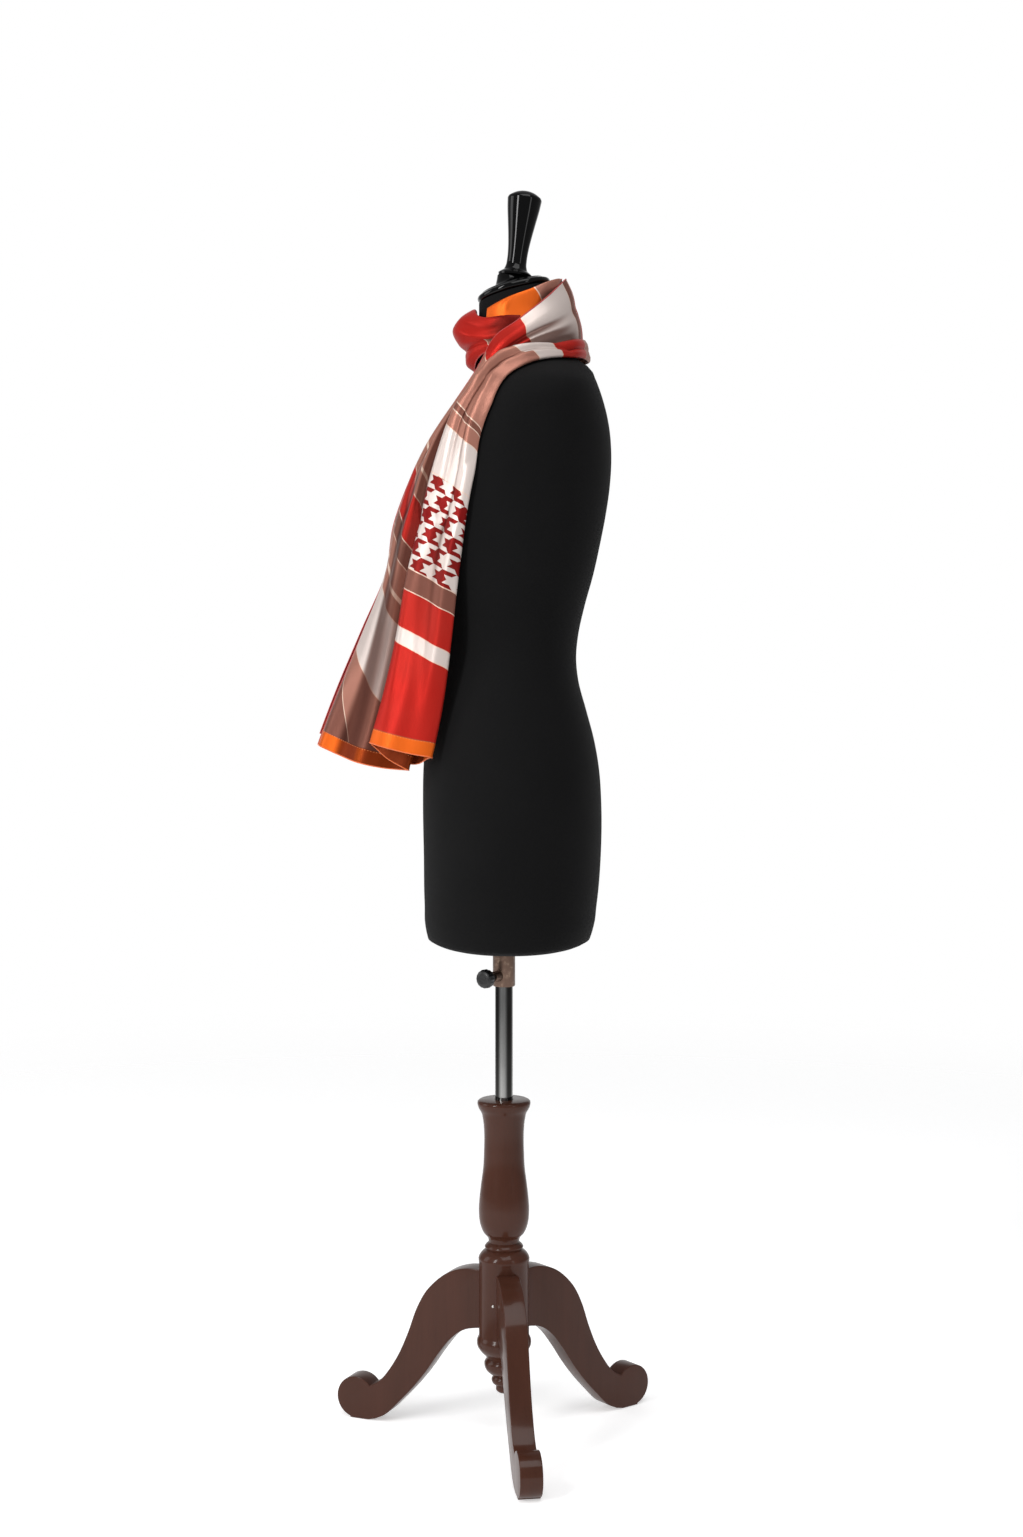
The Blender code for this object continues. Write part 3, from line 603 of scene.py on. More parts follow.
def makeLeg(side, finish):
    shape = legShape
    outline = []
    for edge, count in shape["outline"]:
        if edge == "scroll":
            out, height, radius = shape["scroll"]
            for angle in np.linspace(*shape["scrollArc"], count):
                level = max(height + radius * math.sin(angle), shape["scrollLowest"])
                outline.append((out + radius * math.cos(angle), level))
        elif edge == "foot":
            outline += [(out, 0.0) for out in shape["footFlat"]]
        else:
            knots = np.arange(len(shape[edge]))
            outline += smoothCurve(knots, shape[edge], np.linspace(0, knots[-1], count)).tolist()
    half = shape["thickness"] / 2
    count = len(outline)
    points = [(out, across, height) for across in (-half, half) for out, height in outline]
    faces = [tuple(range(count)), tuple(range(2 * count - 1, count - 1, -1))]
    for index in range(count):
        after = (index + 1) % count
        faces.append((index, after, count + after, count + index))
    points = tilted(points, (0, 0, 0), (0, 0, math.radians(shape["directions"][side])))
    name = "leg_carved_" + side
    piece = meshPiece(name, points, faces, finish, "stand", ["leg_" + side])
    rounding = piece.modifiers.new("rounded", "BEVEL")
    rounding.width = shape["edgeRounding"] * millimetre
    rounding.segments = shape["roundingSteps"]
    rounding.limit_method = "ANGLE"
    rounding.angle_limit = shape["roundedFrom"]
    radius, top, bottom = shape["hub"]
    profile = (0, top), (radius, top), (radius, bottom), (0, bottom)
    carve(piece, *turnedPoints(profile, shape["hubSegments"]))


pinShape = {
    "segments": 20,
    "sharp": 50,
    "profile": ((0, 1.3), (0.9, 1.2), (1.6, 0.7), (1.9, 0), (0, 0)),
    "out": 29.9,
    "height": 163,
    "direction": math.radians(-25.7),
}


def makePin(finish):
    shape = pinShape
    angle = shape["direction"]
    place = (shape["out"] * math.cos(angle), shape["out"] * math.sin(angle), shape["height"])
    turnedPiece("hub_pin", shape["profile"], shape["segments"], finish, "stand", (), place,
                (0, math.radians(90), angle), shape["sharp"])


capShape = {
    "segments": 96,
    "tilt": math.radians(15),
    "lean": math.radians(-7.3),
    "axis": 13.0,
    "capHeight": 1370.0,
    "finialHeight": 1391.0,
    "seat": (22.0, 40),  # radius, height
    "seatSegments": 64,
    "capStep": 1.2,
    "finialStep": 1.4,
    "cap": (  # radius, height above the neck's top
        (0, 27), (14.5, 27), (17.5, 20.5), (20.5, 15.6), (26, 12.2), (38.5, 10.4), (40.5, 8.4), (44, 7.2),
        (45, 4.6), (44.2, 1.8), (42.4, 0.3), (0, 0.3),
    ),
    "capCrisp": [1, 5, 6, 10],
    "finial": (  # radius, height above its base
        (0, 103), (8, 102.2), (15, 99.2), (19.6, 95.8), (20.7, 93.2), (19.6, 83), (17, 66), (14.4, 49),
        (12.6, 34), (12, 20), (12.6, 12.5), (15, 7), (18.6, 4.6), (20.4, 2.6), (19.8, 0.3), (0, 0.3),
    ),
    "finialCrisp": [3, 4, 12, 14],
}


def makeCap(finish):
    shape = capShape

    def turned(name, profile, node, height, lean):
        return turnedPiece(name, profile, shape["segments"], finish, "form", [node],
                           (0, shape["axis"], height), (lean, 0, 0))

    profile = easedProfile(shape["cap"], shape["capStep"], shape["capCrisp"])
    cap = turned("neck_cap_gloss", profile, "neck_cap", shape["capHeight"], shape["tilt"])
    radius, top = shape["seat"]
    seat, faces = turnedPoints(((0, top), (radius, top), (radius, 0), (0, 0)), shape["seatSegments"])
    carve(cap, tilted(seat, (0, shape["axis"], shape["finialHeight"]), (shape["lean"], 0, 0)), faces)
    profile = easedProfile(shape["finial"], shape["finialStep"], shape["finialCrisp"])
    turned("finial_gloss", profile, "finial", shape["finialHeight"], shape["lean"])
    print("cap and finial made")


postShape = {"segments": 64, "profile": ((0, 790), (9.2, 790), (10.7, 788.5), (10.7, 330), (0, 330))}

clampShape = {
    "turn": math.radians(-33),
    "height": 553.0,
    "knobStart": 24.3,
    "collar": ((11.0, 540.8), (11.0, 593.7), (13.4, 593.7), (13.4, 541.2), (12.7, 540.0), (11.8, 540.0)),
    "boss": ((0, 24), (5.7, 24), (6.5, 23.2), (6.5, 12), (0, 12)),
    "knob": (  # radius, out along the clamp's axis
        (0, 21.6), (7.5, 21.4), (10.4, 19.8), (11.3, 17.2), (11.3, 13.4), (10.2, 11), (6.2, 9.8), (4, 8.6),
        (4, 0), (0, 0),
    ),
    "knobCrisp": [3, 4, 7, 8],
    "knobStep": 0.7,
    "knobSharp": 45,
    "segments": {"collar": 72, "boss": 40, "knob": 96},
    "flutes": 16,
    "fluteDeep": 0.45,
    "fluteFades": ((8.5, 2.5), (10.5, 1.5), (21.2, 2)),  # out from the axis, from the neck, to the top
}


def makeClamp(bronze, plastic):
    shape = clampShape
    segments = shape["segments"]
    points, faces = turnedPoints(shape["collar"], segments["collar"], closed=True)
    meshPiece("collar_sleeve", points, faces, bronze, "form", ["collar"], sharp=crispAngle)
    about = (0, math.radians(90), shape["turn"])
    turnedPiece("collar_boss", shape["boss"], segments["boss"], bronze, "form", (),
                (0, 0, shape["height"]), about)
    profile = easedProfile(shape["knob"], shape["knobStep"], shape["knobCrisp"])
    points, faces = turnedPoints(profile, segments["knob"])
    (rim, rimFade), (neck, neckFade), (top, topFade) = shape["fluteFades"]
    grips = []
    for x, y, z in points:
        radius = math.hypot(x, y)
        wave = 0.5 - 0.5 * math.cos(shape["flutes"] * math.atan2(y, x))
        fade = smoothStep((radius - rim) / rimFade) * smoothStep((z - neck) / neckFade)
        fade = fade * smoothStep((top - z) / topFade)
        shrink = 1 - float(fade) * wave * shape["fluteDeep"] / max(radius, 1)
        grips.append((x * shrink, y * shrink, z))
    out = shape["knobStart"]
    place = (out * math.cos(shape["turn"]), out * math.sin(shape["turn"]), shape["height"])
    points = tilted(grips, place, about)
    meshPiece("clamp_knob_grip", points, faces, plastic, "clamp_knob", ["knob"],
              sharp=shape["knobSharp"])
    print("clamp made")


def makeStand(wood, chrome, pin):
    makeColumn(wood)
    for side in legShape["directions"]:
        makeLeg(side, wood)
    makePin(pin)
    turnedPiece("post_tube", postShape["profile"], postShape["segments"], chrome, "post", ["post"])
    print("stand made")


# The stole. A piece is a grid of points, nape to hem down the rows and edge to edge along the columns.
clothLook = {
    "halfWall": 0.22,
    "clearance": 2.0,
    "layerStep": 2.75,
    "ridgeKept": 0.8,
    "rollRadius": 0.75,
    "stitchPitch": 3.6,
    "stitchLength": 2.3,
    "stitchWide": 0.7,
    "stitchBelow": 1.4,
    "threads": {
        "rolledOrange": (0.7, 0.12, 0.01),
        "rolledRed": (0.42, 0.014, 0.012),
        "stitchThread": (0.75, 0.22, 0.05),
    },
    "hollowReach": 4,
    "pleatShade": ((34, 46), (208, 8), 2.4),  # enters and leaves at, each with its fade; deepest
    "shadeUntil": (520, 110, 0.85),  # height, fade, share
    # painted shade in the troughs eases off above this height: height, fade, share
    "troughShadeEaseFrom": (530, 90, 0.65),
}

endShape = {
    "rows": 236,
    "finer": 5,
    "gatheredUntil": 7.0,
    "farShorter": 14.0,
    "napeFlattened": 0.6,
    "napeFlatUntil": (1.5, 1.5),  # station, fade
    "napeInsets": (5.5, 15.0, 15.0),
    "napeRaises": (-2.0, 3.0, 11.0),
    "napeInsetUntil": 1.7,
    "napeCurls": (3.0, 12.0, 13.0),
    "napeCurlUntil": 0.55,
    "farStart": 0.88,
    "guides": (  # front edge, pleat fold and rear fold, each as x, y and z, from the nape to the hem
        (-30, 69, 1383, -34, 92, 1312, -37, 98, 1290), (0, 74.5, 1388, 0, 98, 1312, 0, 103, 1290),
        (50, 50, 1357, 60, 79, 1304, 78, 82, 1283), (73, 16, 1327, 97, 29, 1283, 121, 33, 1263),
        (68, -12, 1307, 106, -6, 1251, 134, 2, 1227), (38, -34, 1273, 102, -42, 1209, 138, -26, 1186),
        (14, -92, 1190, 103, -72, 1150, 140, -37, 1138), (9, -131, 1100, 102, -91, 1095, 137, -45, 1095),
        (9, -143, 1033, 99, -108, 1030, 131, -54, 1030), (10, -172, 960, 95, -121, 955, 125, -63, 950),
        (11, -199, 893, 92, -136, 885, 121, -73, 880), (13, -222, 829, 91, -151, 829, 118, -85, 822),
    ),
    "folds": (  # place, lift, place at hem, lift at hem, drop at hem, layers below, steps
        (0, -1, 0, 0, 0, 0, 1), (0.22, 1.8, 0.2, 7, 5, 0.6, 2), (0.5, -0.4, 0.46, -1, 12, 1, 2),
        (0.78, -0.8, 0.76, 0, 18, 1, 2), (1.06, -5.8, 1.05, -12, 21, 1, 2), (1.4, -8, 1.48, -20, 22, 1, 1),
        (1.47, -6.2, 1.56, -16.5, 22, 1.5, 1), (1.4, -4.4, 1.48, -13, 20, 2, 1),
        (1.18, -3.7, 1.2, -10, 12, 2, 1), (1.03, -3, 1, -8, 2, 2, 1), (0.97, -1.2, 0.94, -3.5, -4, 2.5, 1),
        (1.03, 0.6, 1, 1.5, -3, 3, 1), (1.34, 1.8, 1.32, 6, 0, 3.1, 2), (1.68, 1.2, 1.68, 2.5, 2, 2.1, 2),
        (1.95, 0.4, 1.95, 0.5, 2, 1.3, 1), (2.03, -2, 2.03, -4.5, 3, 0.7, 1), (1.95, -4.6, 1.95, -10, 4, 0, 1),
        (1.6, -10.8, 1.62, -27, 14, 0, 2), (1.08, -10.4, 1.05, -27, 12, 0, 2), (0.72, -6.4, 0.66, -19, 8, 0, 2),
        (0.4, -4.6, 0.32, -14, 6, 0, 1),
    ),
    "creases": (  # across at top, across at foot, height of top, height of foot, wide, deep
        (20, 24, 640, 150, 7, 0.7), (46, 50, 660, 240, 6, -1.9), (64, 82, 690, 120, 7, 2.2),
        (92, 104, 660, 200, 5.5, -1.8), (8, 36, 330, 30, 10, -2.2), (112, 96, 520, 60, 8, 1.6),
        (218, 236, 690, 160, 7, 1.7), (238, 256, 660, 90, 7, -1.7), (262, 276, 690, 260, 6, 1.5),
        (280, 262, 300, 20, 9, 1.8), (214, 226, 300, 10, 6, -1.2), (290, 288, 560, 120, 5, -1),
        (140, 168, 690, 60, 9, 1), (330, 346, 640, 80, 9, 1.4), (372, 384, 600, 40, 9, -1.6),
        (414, 404, 560, 60, 9, 1.5), (36, 88, 700, 560, 6, 1.6), (88, 30, 720, 610, 6, -1.5),
        (226, 286, 700, 560, 6, -1.3), (226, 228, 700, 280, 9, 3), (262, 264, 690, 300, 9, 2.8),
        (244, 246, 690, 300, 5, -2), (60, 66, 640, 260, 12, 1.6),
    ),
    "pleat": (  # the same, for the two lips of the pleat and the trough between
        (72, 72, 760, 20, 12, 2.6), (102, 104, 770, -40, 9, -5), (214, 212, 770, -40, 11, 6.5),
        (238, 242, 760, 40, 9, -2.6), (268, 270, 760, 60, 11, 2.4), (48, 44, 760, 90, 9, -2.4),
        (24, 20, 720, 60, 10, -0.8),
    ),
    "creaseGain": 1.45,
    "looseness": (0.12, 0.8, 4.2),  # share at the nape, station, fade
    "waver": (1.5, 26, 120),  # deep, wide, high
    "hemWave": (1.2, 31),  # high, wide
}

creaseLook = {"wander": (3.0, 5, 1.7), "startShare": 0.22, "endShare": 0.3, "spread": (0.8, 0.6)}


def creaseDepth(across, height, creases):
    # soft ridges and troughs that start, wander and die away
    look = creaseLook
    wander, waves, shift = look["wander"]
    narrow, widening = look["spread"]
    depth = np.zeros_like(across)
    for index, (top, foot, high, low, wide, deep) in enumerate(creases):
        share = (high - height) / (high - low)
        middle = top + (foot - top) * share + wander * np.sin(share * waves + index * shift)
        fade = smoothStep(share / look["startShare"]) * smoothStep((1 - share) / look["endShare"])
        spread = wide * (narrow + widening * np.clip(share, 0, 1))
        offset = (across - middle) / spread
        depth += deep * np.exp(-offset * offset) * fade
    return depth


def slowWaver(first, second, seed):
    # gentle unevenness from Perlin noise, always the same
    flat = np.stack([first.ravel(), second.ravel()], axis=1)
    values = [noise.noise(Vector((a, b, seed))) for a, b in flat]
    return np.array(values).reshape(first.shape)


def endGrid(side, start, insets, raises, curls, shorter, seed):
    shape = endShape
    look = clothLook
    table = np.asarray(shape["guides"], float)
    last = len(table) - 1
    stations = np.linspace(start, last, shape["rows"])
    guides = smoothCurve(np.arange(len(table)), table, stations)
    insetShare = 1 - smoothStep(stations - shape["napeInsetUntil"])
    edge, fold, rear = guides[:, 0:3], guides[:, 3:6], guides[:, 6:9]
    curlShare = np.clip(1 - (stations - start) / shape["napeCurlUntil"], 0, 1) ** 2
    for line, inset, rise, curl in zip((edge, fold, rear), insets, raises, curls):
        line[:, 1] -= inset * insetShare + curl * curlShare
        line[:, 2] += rise * insetShare
    folds = np.asarray(shape["folds"], float)
    knots = np.arange(len(folds))
    places = []
    for knot in knots[:-1]:
        steps = int(folds[knot, 6]) * shape["finer"]
        places += [knot + step / steps for step in range(steps)]
    folds = smoothCurve(knots, folds[:, :6], np.asarray(places + [knots[-1]]))
    hemShare = smoothStep((stations - shape["gatheredUntil"]) / (last - shape["gatheredUntil"]))[:, None]
    spread = (1 - hemShare) * folds[:, 0] + hemShare * folds[:, 2]
    flattened = shape["napeFlattened"]
    first, fade = shape["napeFlatUntil"]
    flattening = flattened + (1 - flattened) * smoothStep((stations - first) / fade)
    lift = ((1 - hemShare) * folds[:, 1] + hemShare * folds[:, 3]) * flattening[:, None]
    frontLength = np.linalg.norm(fold - edge, axis=1)[:, None]
    rearLength = np.linalg.norm(rear - fold, axis=1)[:, None]
    middle = frontLength / (frontLength + rearLength)
    share = np.where(spread < 1, spread * middle, middle + (spread - 1) * (1 - middle))

    def guidePoint(at):
        weightEdge = (at - middle) * (at - 1) / middle
        weightFold = at * (at - 1) / (middle * (middle - 1))
        weightRear = at * (at - middle) / (1 - middle)
        parts = (weightEdge, edge), (weightFold, fold), (weightRear, rear)
        return sum(weight[..., None] * line[:, None, :] for weight, line in parts)

    base = guidePoint(share)
    outward = np.cross(np.gradient(base, axis=0), guidePoint(share + 0.01) - guidePoint(share - 0.01))
    outward /= np.linalg.norm(outward, axis=2, keepdims=True)
    plain = base + outward * lift[..., None]
    cut = cutCoords(plain)
    across, height = cut[:, :, 0], cut[:, :, 1]
    least, first, fade = shape["looseness"]
    looseness = least + (1 - least) * smoothStep((stations - first) / fade)[:, None]
    depth = creaseDepth(across, height, shape["creases"]) * looseness * shape["creaseGain"]
    depth += creaseDepth(across, height, shape["pleat"]) * looseness
    deep, wide, high = shape["waver"]
    depth += deep * slowWaver(across / wide, height / high, seed) * looseness
    grid = plain + outward * depth[..., None]
    deep, wide = shape["hemWave"]
    hemWave = deep * np.sin(across / wide + seed) * hemShare ** 4
    grid[:, :, 2] += shorter * hemShare - folds[:, 4] * hemShare + hemWave
    grid = grid * np.array((side, 1, 1))
    clearance = look["clearance"] + look["halfWall"] + look["layerStep"] * flattening[:, None] * folds[:, 5]
    return keepOffForm(grid, clearance + look["ridgeKept"] * np.maximum(depth, 0)), cut


def cutCoords(grid):
    # where each point lies on the flat cloth: across from the front edge, and up from the hem
    across = np.linalg.norm(np.diff(grid[-1], axis=0), axis=1)
    across = np.concatenate([[0], np.cumsum(across)])
    rowGap = np.linalg.norm(np.diff(grid, axis=0), axis=2)
    height = np.concatenate([np.cumsum(rowGap[::-1], axis=0)[::-1], np.zeros((1, grid.shape[1]))])
    height = height * (height[0].mean() / height[0])[None, :]
    return np.stack([np.broadcast_to(across, height.shape), height], axis=2)


def gridNormals(grid):
    normals = np.cross(np.gradient(grid, axis=1), np.gradient(grid, axis=0))
    return normals / np.maximum(np.linalg.norm(normals, axis=2, keepdims=True), 1e-9)


def clothPiece(name, grid, cut, finish, node, shade=0.0):
    # a thin closed wall on both sides of the grid
    rows, columns = grid.shape[:2]
    half = gridNormals(grid) * clothLook["halfWall"]
    points = np.concatenate([(grid + half).reshape(-1, 3), (grid - half).reshape(-1, 3)])
    under = rows * columns
    index = np.arange(under).reshape(rows, columns)
    quads = np.stack([index[:-1, :-1], index[:-1, 1:], index[1:, 1:], index[1:, :-1]], axis=2).reshape(-1, 4)
    rim = np.concatenate([index[0], index[1:, -1], index[-1, -2::-1], index[-2:0:-1, 0]])
    after = np.roll(rim, -1)
    sides = np.stack([rim, under + rim, under + after, after], axis=1)
    faces = np.concatenate([quads, under + quads[:, ::-1], sides]).tolist()
    coords = np.concatenate([cut.reshape(-1, 2)] * 2) * millimetre
    piece = meshPiece(name, points, faces, finish, "form", [node], sharp=70, coords=coords)
    # painted shade, kept as a point attribute: how deep each point lies in a trough, eased off near the nape,
    # plus the given shade
    high, fade, shadeEased = clothLook["troughShadeEaseFrom"]
    troughShade = hollows(grid) * (1 - shadeEased * smoothStep((cut[:, :, 1] - high) / fade))
    layer = piece.data.attributes.new("paintedShade", "FLOAT", "POINT")
    layer.data.foreach_set("value", np.concatenate([troughShade + shade, shade - troughShade]).ravel())
    return piece


def pleatShade(cut):
    # the cloth next to and inside the pleat lies in shade, up to the shoulder
    enter, leave, deepest = clothLook["pleatShade"]
    top, fade, share = clothLook["shadeUntil"]
    across, height = cut[:, :, 0], cut[:, :, 1]
    inside = smoothStep((across - enter[0]) / enter[1]) * smoothStep((leave[0] - across) / leave[1])
    return deepest * inside * (1 - share * smoothStep((height - top) / fade))


def hollows(grid):
    # how far each point lies in a trough, in millimetres under the run of the cloth beside it; this depth sets
    # the painted shade in the troughs
    reach = clothLook["hollowReach"]
    padded = np.concatenate([grid[:, :1]] * reach + [grid] + [grid[:, -1:]] * reach, axis=1)
    columns = grid.shape[1]
    run = sum(padded[:, shift:shift + columns] for shift in range(2 * reach + 1)) / (2 * reach + 1)
    return np.sum((run - grid) * gridNormals(grid), axis=2)


throatShape = {
    "rows": 190,
    "finer": 9,
    "axis": 15.0,
    "reach": (math.radians(-84), math.radians(94)),
    "shadeFrom": (math.radians(44), math.radians(34), 1.5),  # turn, fade, deepest
    "frontSpread": math.radians(62),
    "clearance": 1.2,
    "creaseGain": 1.35,
    "creaseSpan": (-84, 168),  # degrees at the far side, degrees from there to the near side
    "creaseWander": (0.25, 4),  # far, waves
    "creaseFade": 0.3,
    "waver": (0.7, 2.6, 1.6, 4.4),  # deep, wide, round the neck, seed
    "looseFrom": (3.4, 1.2, 0.35),  # place, fade, share at the sides
    "topWave": (0.9, 5, 0.6, 3.2, 1.6),  # high, waves, shift, place, wide
    "cutRadius": 66,
    "folds": (  # out in front, height in front, out at side, height at side
        (50, 1306, 60.5, 1300), (48.4, 1328, 60.5, 1317), (47, 1344, 60.5, 1330), (49, 1350, 62, 1333.5),
        (55, 1348.5, 63.8, 1331), (67, 1341, 65.2, 1322), (75.4, 1330, 66, 1314), (75.8, 1321, 66, 1308),
        (68, 1308, 65, 1307), (60.5, 1302, 63.2, 1304), (61, 1294, 63.8, 1301), (57, 1283, 63.2, 1297.5),
        (49.5, 1276, 61.4, 1294),
    ),
    "creases": (  # place at far side, place at near side, from turn, to turn, wide, deep
        (6.4, 4.6, 8, 84, 0.45, -2.2), (7.6, 6.2, 18, 84, 0.5, 1.6), (5.4, 6.6, -84, -20, 0.5, -1.8),
        (9, 8.4, -10, 84, 0.5, -1.2), (10.4, 10.8, -70, 70, 0.5, 1.4), (8.6, 9.2, -84, 10, 0.5, 1),
    ),
}

innerShape = {
    "rows": 200,
    "finer": 11,
    "reach": math.radians(133),
    "axis": 13.0,
    "topAtAxis": 1361.0,
    "topSlope": 0.42,
    "backRise": (1.5, 8, 34),  # high, from, fade
    "backFlare": 9.5,
    "flareFrom": (0.3, 0.6),  # cosine of the turn, fade
    "flareDeep": 16.0,
    "flareStart": 3.0,
    "clearance": 1.2,
    "slantDeep": 0.75,
    "slants": ((9, 0.9, 0.0), (5, -0.6, 1.0)),  # round the neck, across, shift
    "waver": (1.3, 3.0, 3.5, 8.1),
    "looseFrom": (3.2, 1.2),
    "topWave": (0.7, 4, 1),
    "cutRadius": 48,
    "folds": (  # out, below the top, layers below
        (44.6, 36, 0), (44.6, 20, 0), (44.8, 4, 0), (46.2, 0, 0.5), (47.6, 4, 1), (48, 20, 1), (48.4, 38, 1),
    ),
}


def bandCreases(place, turn, creases):
    depth = np.zeros_like(place)
    degrees = np.degrees(turn)
    start, span = throatShape["creaseSpan"]
    wander, waves = throatShape["creaseWander"]
    edge = throatShape["creaseFade"]
    for far, near, first, last, wide, deep in creases:
        share = (degrees - first) / (last - first)
        middle = far + (near - far) * (degrees - start) / span + wander * np.sin(share * waves)
        fade = smoothStep(share / edge) * smoothStep((1 - share) / edge)
        offset = (place - middle) / wide
        depth += deep * np.exp(-offset * offset) * fade
    return depth


def bandWaver(shape, place, turn):
    deep, wide, about, seed = shape["waver"]
    return deep * slowWaver(place / wide, turn * about, seed)


def bandPlaces(shape):
    folds = np.asarray(shape["folds"], float)
    knots = np.arange(len(folds))
    places = np.linspace(0, knots[-1], knots[-1] * shape["finer"] + 1)
    return places, smoothCurve(knots, folds, places)


def bandCut(grid, turn, radius):
    # across the band from its hidden edge, and round the neck from its middle
    gaps = np.linalg.norm(np.diff(grid[len(grid) // 2], axis=0), axis=1)
    across = np.concatenate([[0], np.cumsum(gaps)])
    return np.stack([np.broadcast_to(across, turn.shape), turn * radius], axis=2)


def throatGrid():
    shape = throatShape
    places, folds = bandPlaces(shape)
    turns = np.linspace(*shape["reach"], shape["rows"])
    frontness = 1 - smoothStep(np.abs(turns) / shape["frontSpread"])[:, None]
    out = folds[:, 2] + frontness * (folds[:, 0] - folds[:, 2])
    height = folds[:, 3] + frontness * (folds[:, 1] - folds[:, 3])
    place, turn = np.meshgrid(places, turns)
    depth = shape["creaseGain"] * bandCreases(place, turn, shape["creases"])
    depth += bandWaver(shape, place, turn)
    start, fade, least = shape["looseFrom"]
    out = out + depth * smoothStep((place - start) / fade) * (least + (1 - least) * frontness)
    high, waves, shift, middle, wide = shape["topWave"]
    height = height + high * np.sin(turn * waves + shift) * np.exp(-((place - middle) / wide) ** 2)
    grid = np.stack([out * np.sin(turn), shape["axis"] - out * np.cos(turn), height], axis=2)
    grid = keepOffForm(grid, shape["clearance"])
    first, fade, deepest = shape["shadeFrom"]
    return grid, bandCut(grid, turn, shape["cutRadius"]), deepest * smoothStep((turn - first) / fade)


def innerGrid():
    shape = innerShape
    places, folds = bandPlaces(shape)
    turns = np.linspace(-shape["reach"], shape["reach"], shape["rows"])
    place, turn = np.meshgrid(places, turns)
    slants = [np.sin(turn * about + place * wide + shift) for about, wide, shift in shape["slants"]]
    waver = shape["slantDeep"] * sum(slants) + bandWaver(shape, place, turn)
    upper = np.exp(-(folds[:, 1] / shape["flareDeep"]) ** 2) * smoothStep(places / shape["flareStart"])
    start, fade = shape["looseFrom"]
    out = folds[:, 0] + smoothStep((place - start) / fade) * waver
    start, fade = shape["flareFrom"]
    out = out + shape["backFlare"] * upper * smoothStep((np.cos(turn) - start) / fade)
    back = out * np.cos(turn)
    high, waves, shift = shape["topWave"]
    top = shape["topAtAxis"] + shape["topSlope"] * back + high * np.sin(turn * waves + shift)
    high, start, fade = shape["backRise"]
    top += high * smoothStep((back - start) / fade)
    grid = np.stack([out * np.sin(turn), shape["axis"] + back, top - folds[:, 1]], axis=2)
    grid = keepOffForm(grid, shape["clearance"] + clothLook["layerStep"] * folds[:, 2] * 0.9)
    return grid, bandCut(grid, turn, shape["cutRadius"]), 0.0


# The printed blocks, each a dye and then its corners in turn, in millimetres of flat cloth: across from the
# front edge, then up from the hem.
frontEdge = ("red", -20, 16, 7, 16, 7, 760, -20, 760)
rearEdge = ("red", 436, 10, 460, 10, 460, 760, 436, 760)
nearPrint = (
    frontEdge,
    ("dusk", 7, 10, 66, 10, 7, 92),
    ("cream", 7, 118, 132, 50, 132, 132, 7, 204),
    ("line", 7, 226, 132, 154, 132, 158, 7, 230),
    ("dusk", 7, 262, 132, 190, 132, 214, 7, 286),
    ("red", 7, 286, 132, 214, 132, 262, 7, 338),
    ("line", 7, 366, 132, 290, 132, 293, 7, 369),
    ("red", 150, 10, 350, 10, 350, 84, 150, 140),
    ("cream", 150, 140, 350, 84, 350, 102, 150, 158),
    ("red", 150, 158, 350, 102, 350, 146, 150, 202),
    ("dusk", 150, 202, 350, 146, 350, 170, 150, 226),
    ("check", 150, 226, 350, 170, 350, 282, 150, 338),
    ("cream", 150, 338, 350, 282, 350, 336, 150, 392),
    ("dusk", 150, 410, 350, 354, 350, 362, 150, 418),
    ("red", -10, 484, 118, 444, 150, 500, -10, 540),
    ("cream", -10, 540, 150, 500, 160, 590, -10, 626),
    ("dusk", -10, 626, 160, 590, 160, 606, -10, 642),
    ("red", -10, 642, 160, 606, 190, 700, -10, 760),
    ("cream", 150, 462, 320, 490, 320, 516, 150, 528),
    ("red", 150, 528, 320, 516, 350, 580, 200, 602),
    ("cream", 352, 120, 460, 150, 460, 330, 352, 300),
    rearEdge,
)
farPrint = (
    frontEdge,
    ("cream", 7, 60, 60, 24, 104, 96, 50, 168),
    ("red", 50, 168, 104, 96, 150, 170, 96, 244),
    ("dusk", 7, 190, 50, 168, 96, 244, 7, 300),
    ("orange", 96, 244, 150, 200, 150, 300),
    ("check", 12, 330, 140, 300, 150, 400, 40, 436),
    ("red", 150, 150, 350, 190, 350, 300, 248, 334, 150, 296),
    ("cream", 150, 10, 350, 10, 350, 158, 240, 206, 150, 150),
    ("dusk", 180, 10, 250, 10, 214, 90),
    ("cream", 0, 560, 150, 530, 150, 610, 0, 650),
    ("red", 150, 500, 320, 530, 320, 610, 150, 610),
    ("red", 0, 650, 150, 610, 160, 700, 0, 760),
    rearEdge,
)
throatPrint = (
    ("mauve", 98, 62, 150, 74, 150, 120, 106, 120),
)
innerPrint = (
    ("orange", -10, 72, 90, 34, 90, 130, -10, 130),
    ("dusk", -10, -20, 90, -46, 90, -8, -10, 10),
    ("red", -10, -130, 90, -130, 90, -78, -10, -92),
)


def wired(tree, kinds, settings, links):
    # finds or adds nodes, then sets and links them. A lower-case entry is a node's own setting, and any
    # other is one of its inputs.
    nodes = {label: tree.nodes.get(kind) or tree.nodes.new(kind) for label, kind in kinds.items()}
    for label, entry, value in settings:
        if str(entry).islower():
            setattr(nodes[label], entry, value)
        else:
            nodes[label].inputs[entry].default_value = value
    for source, way, target, entry in links:
        tree.links.new(nodes[source].outputs[way], nodes[target].inputs[entry])


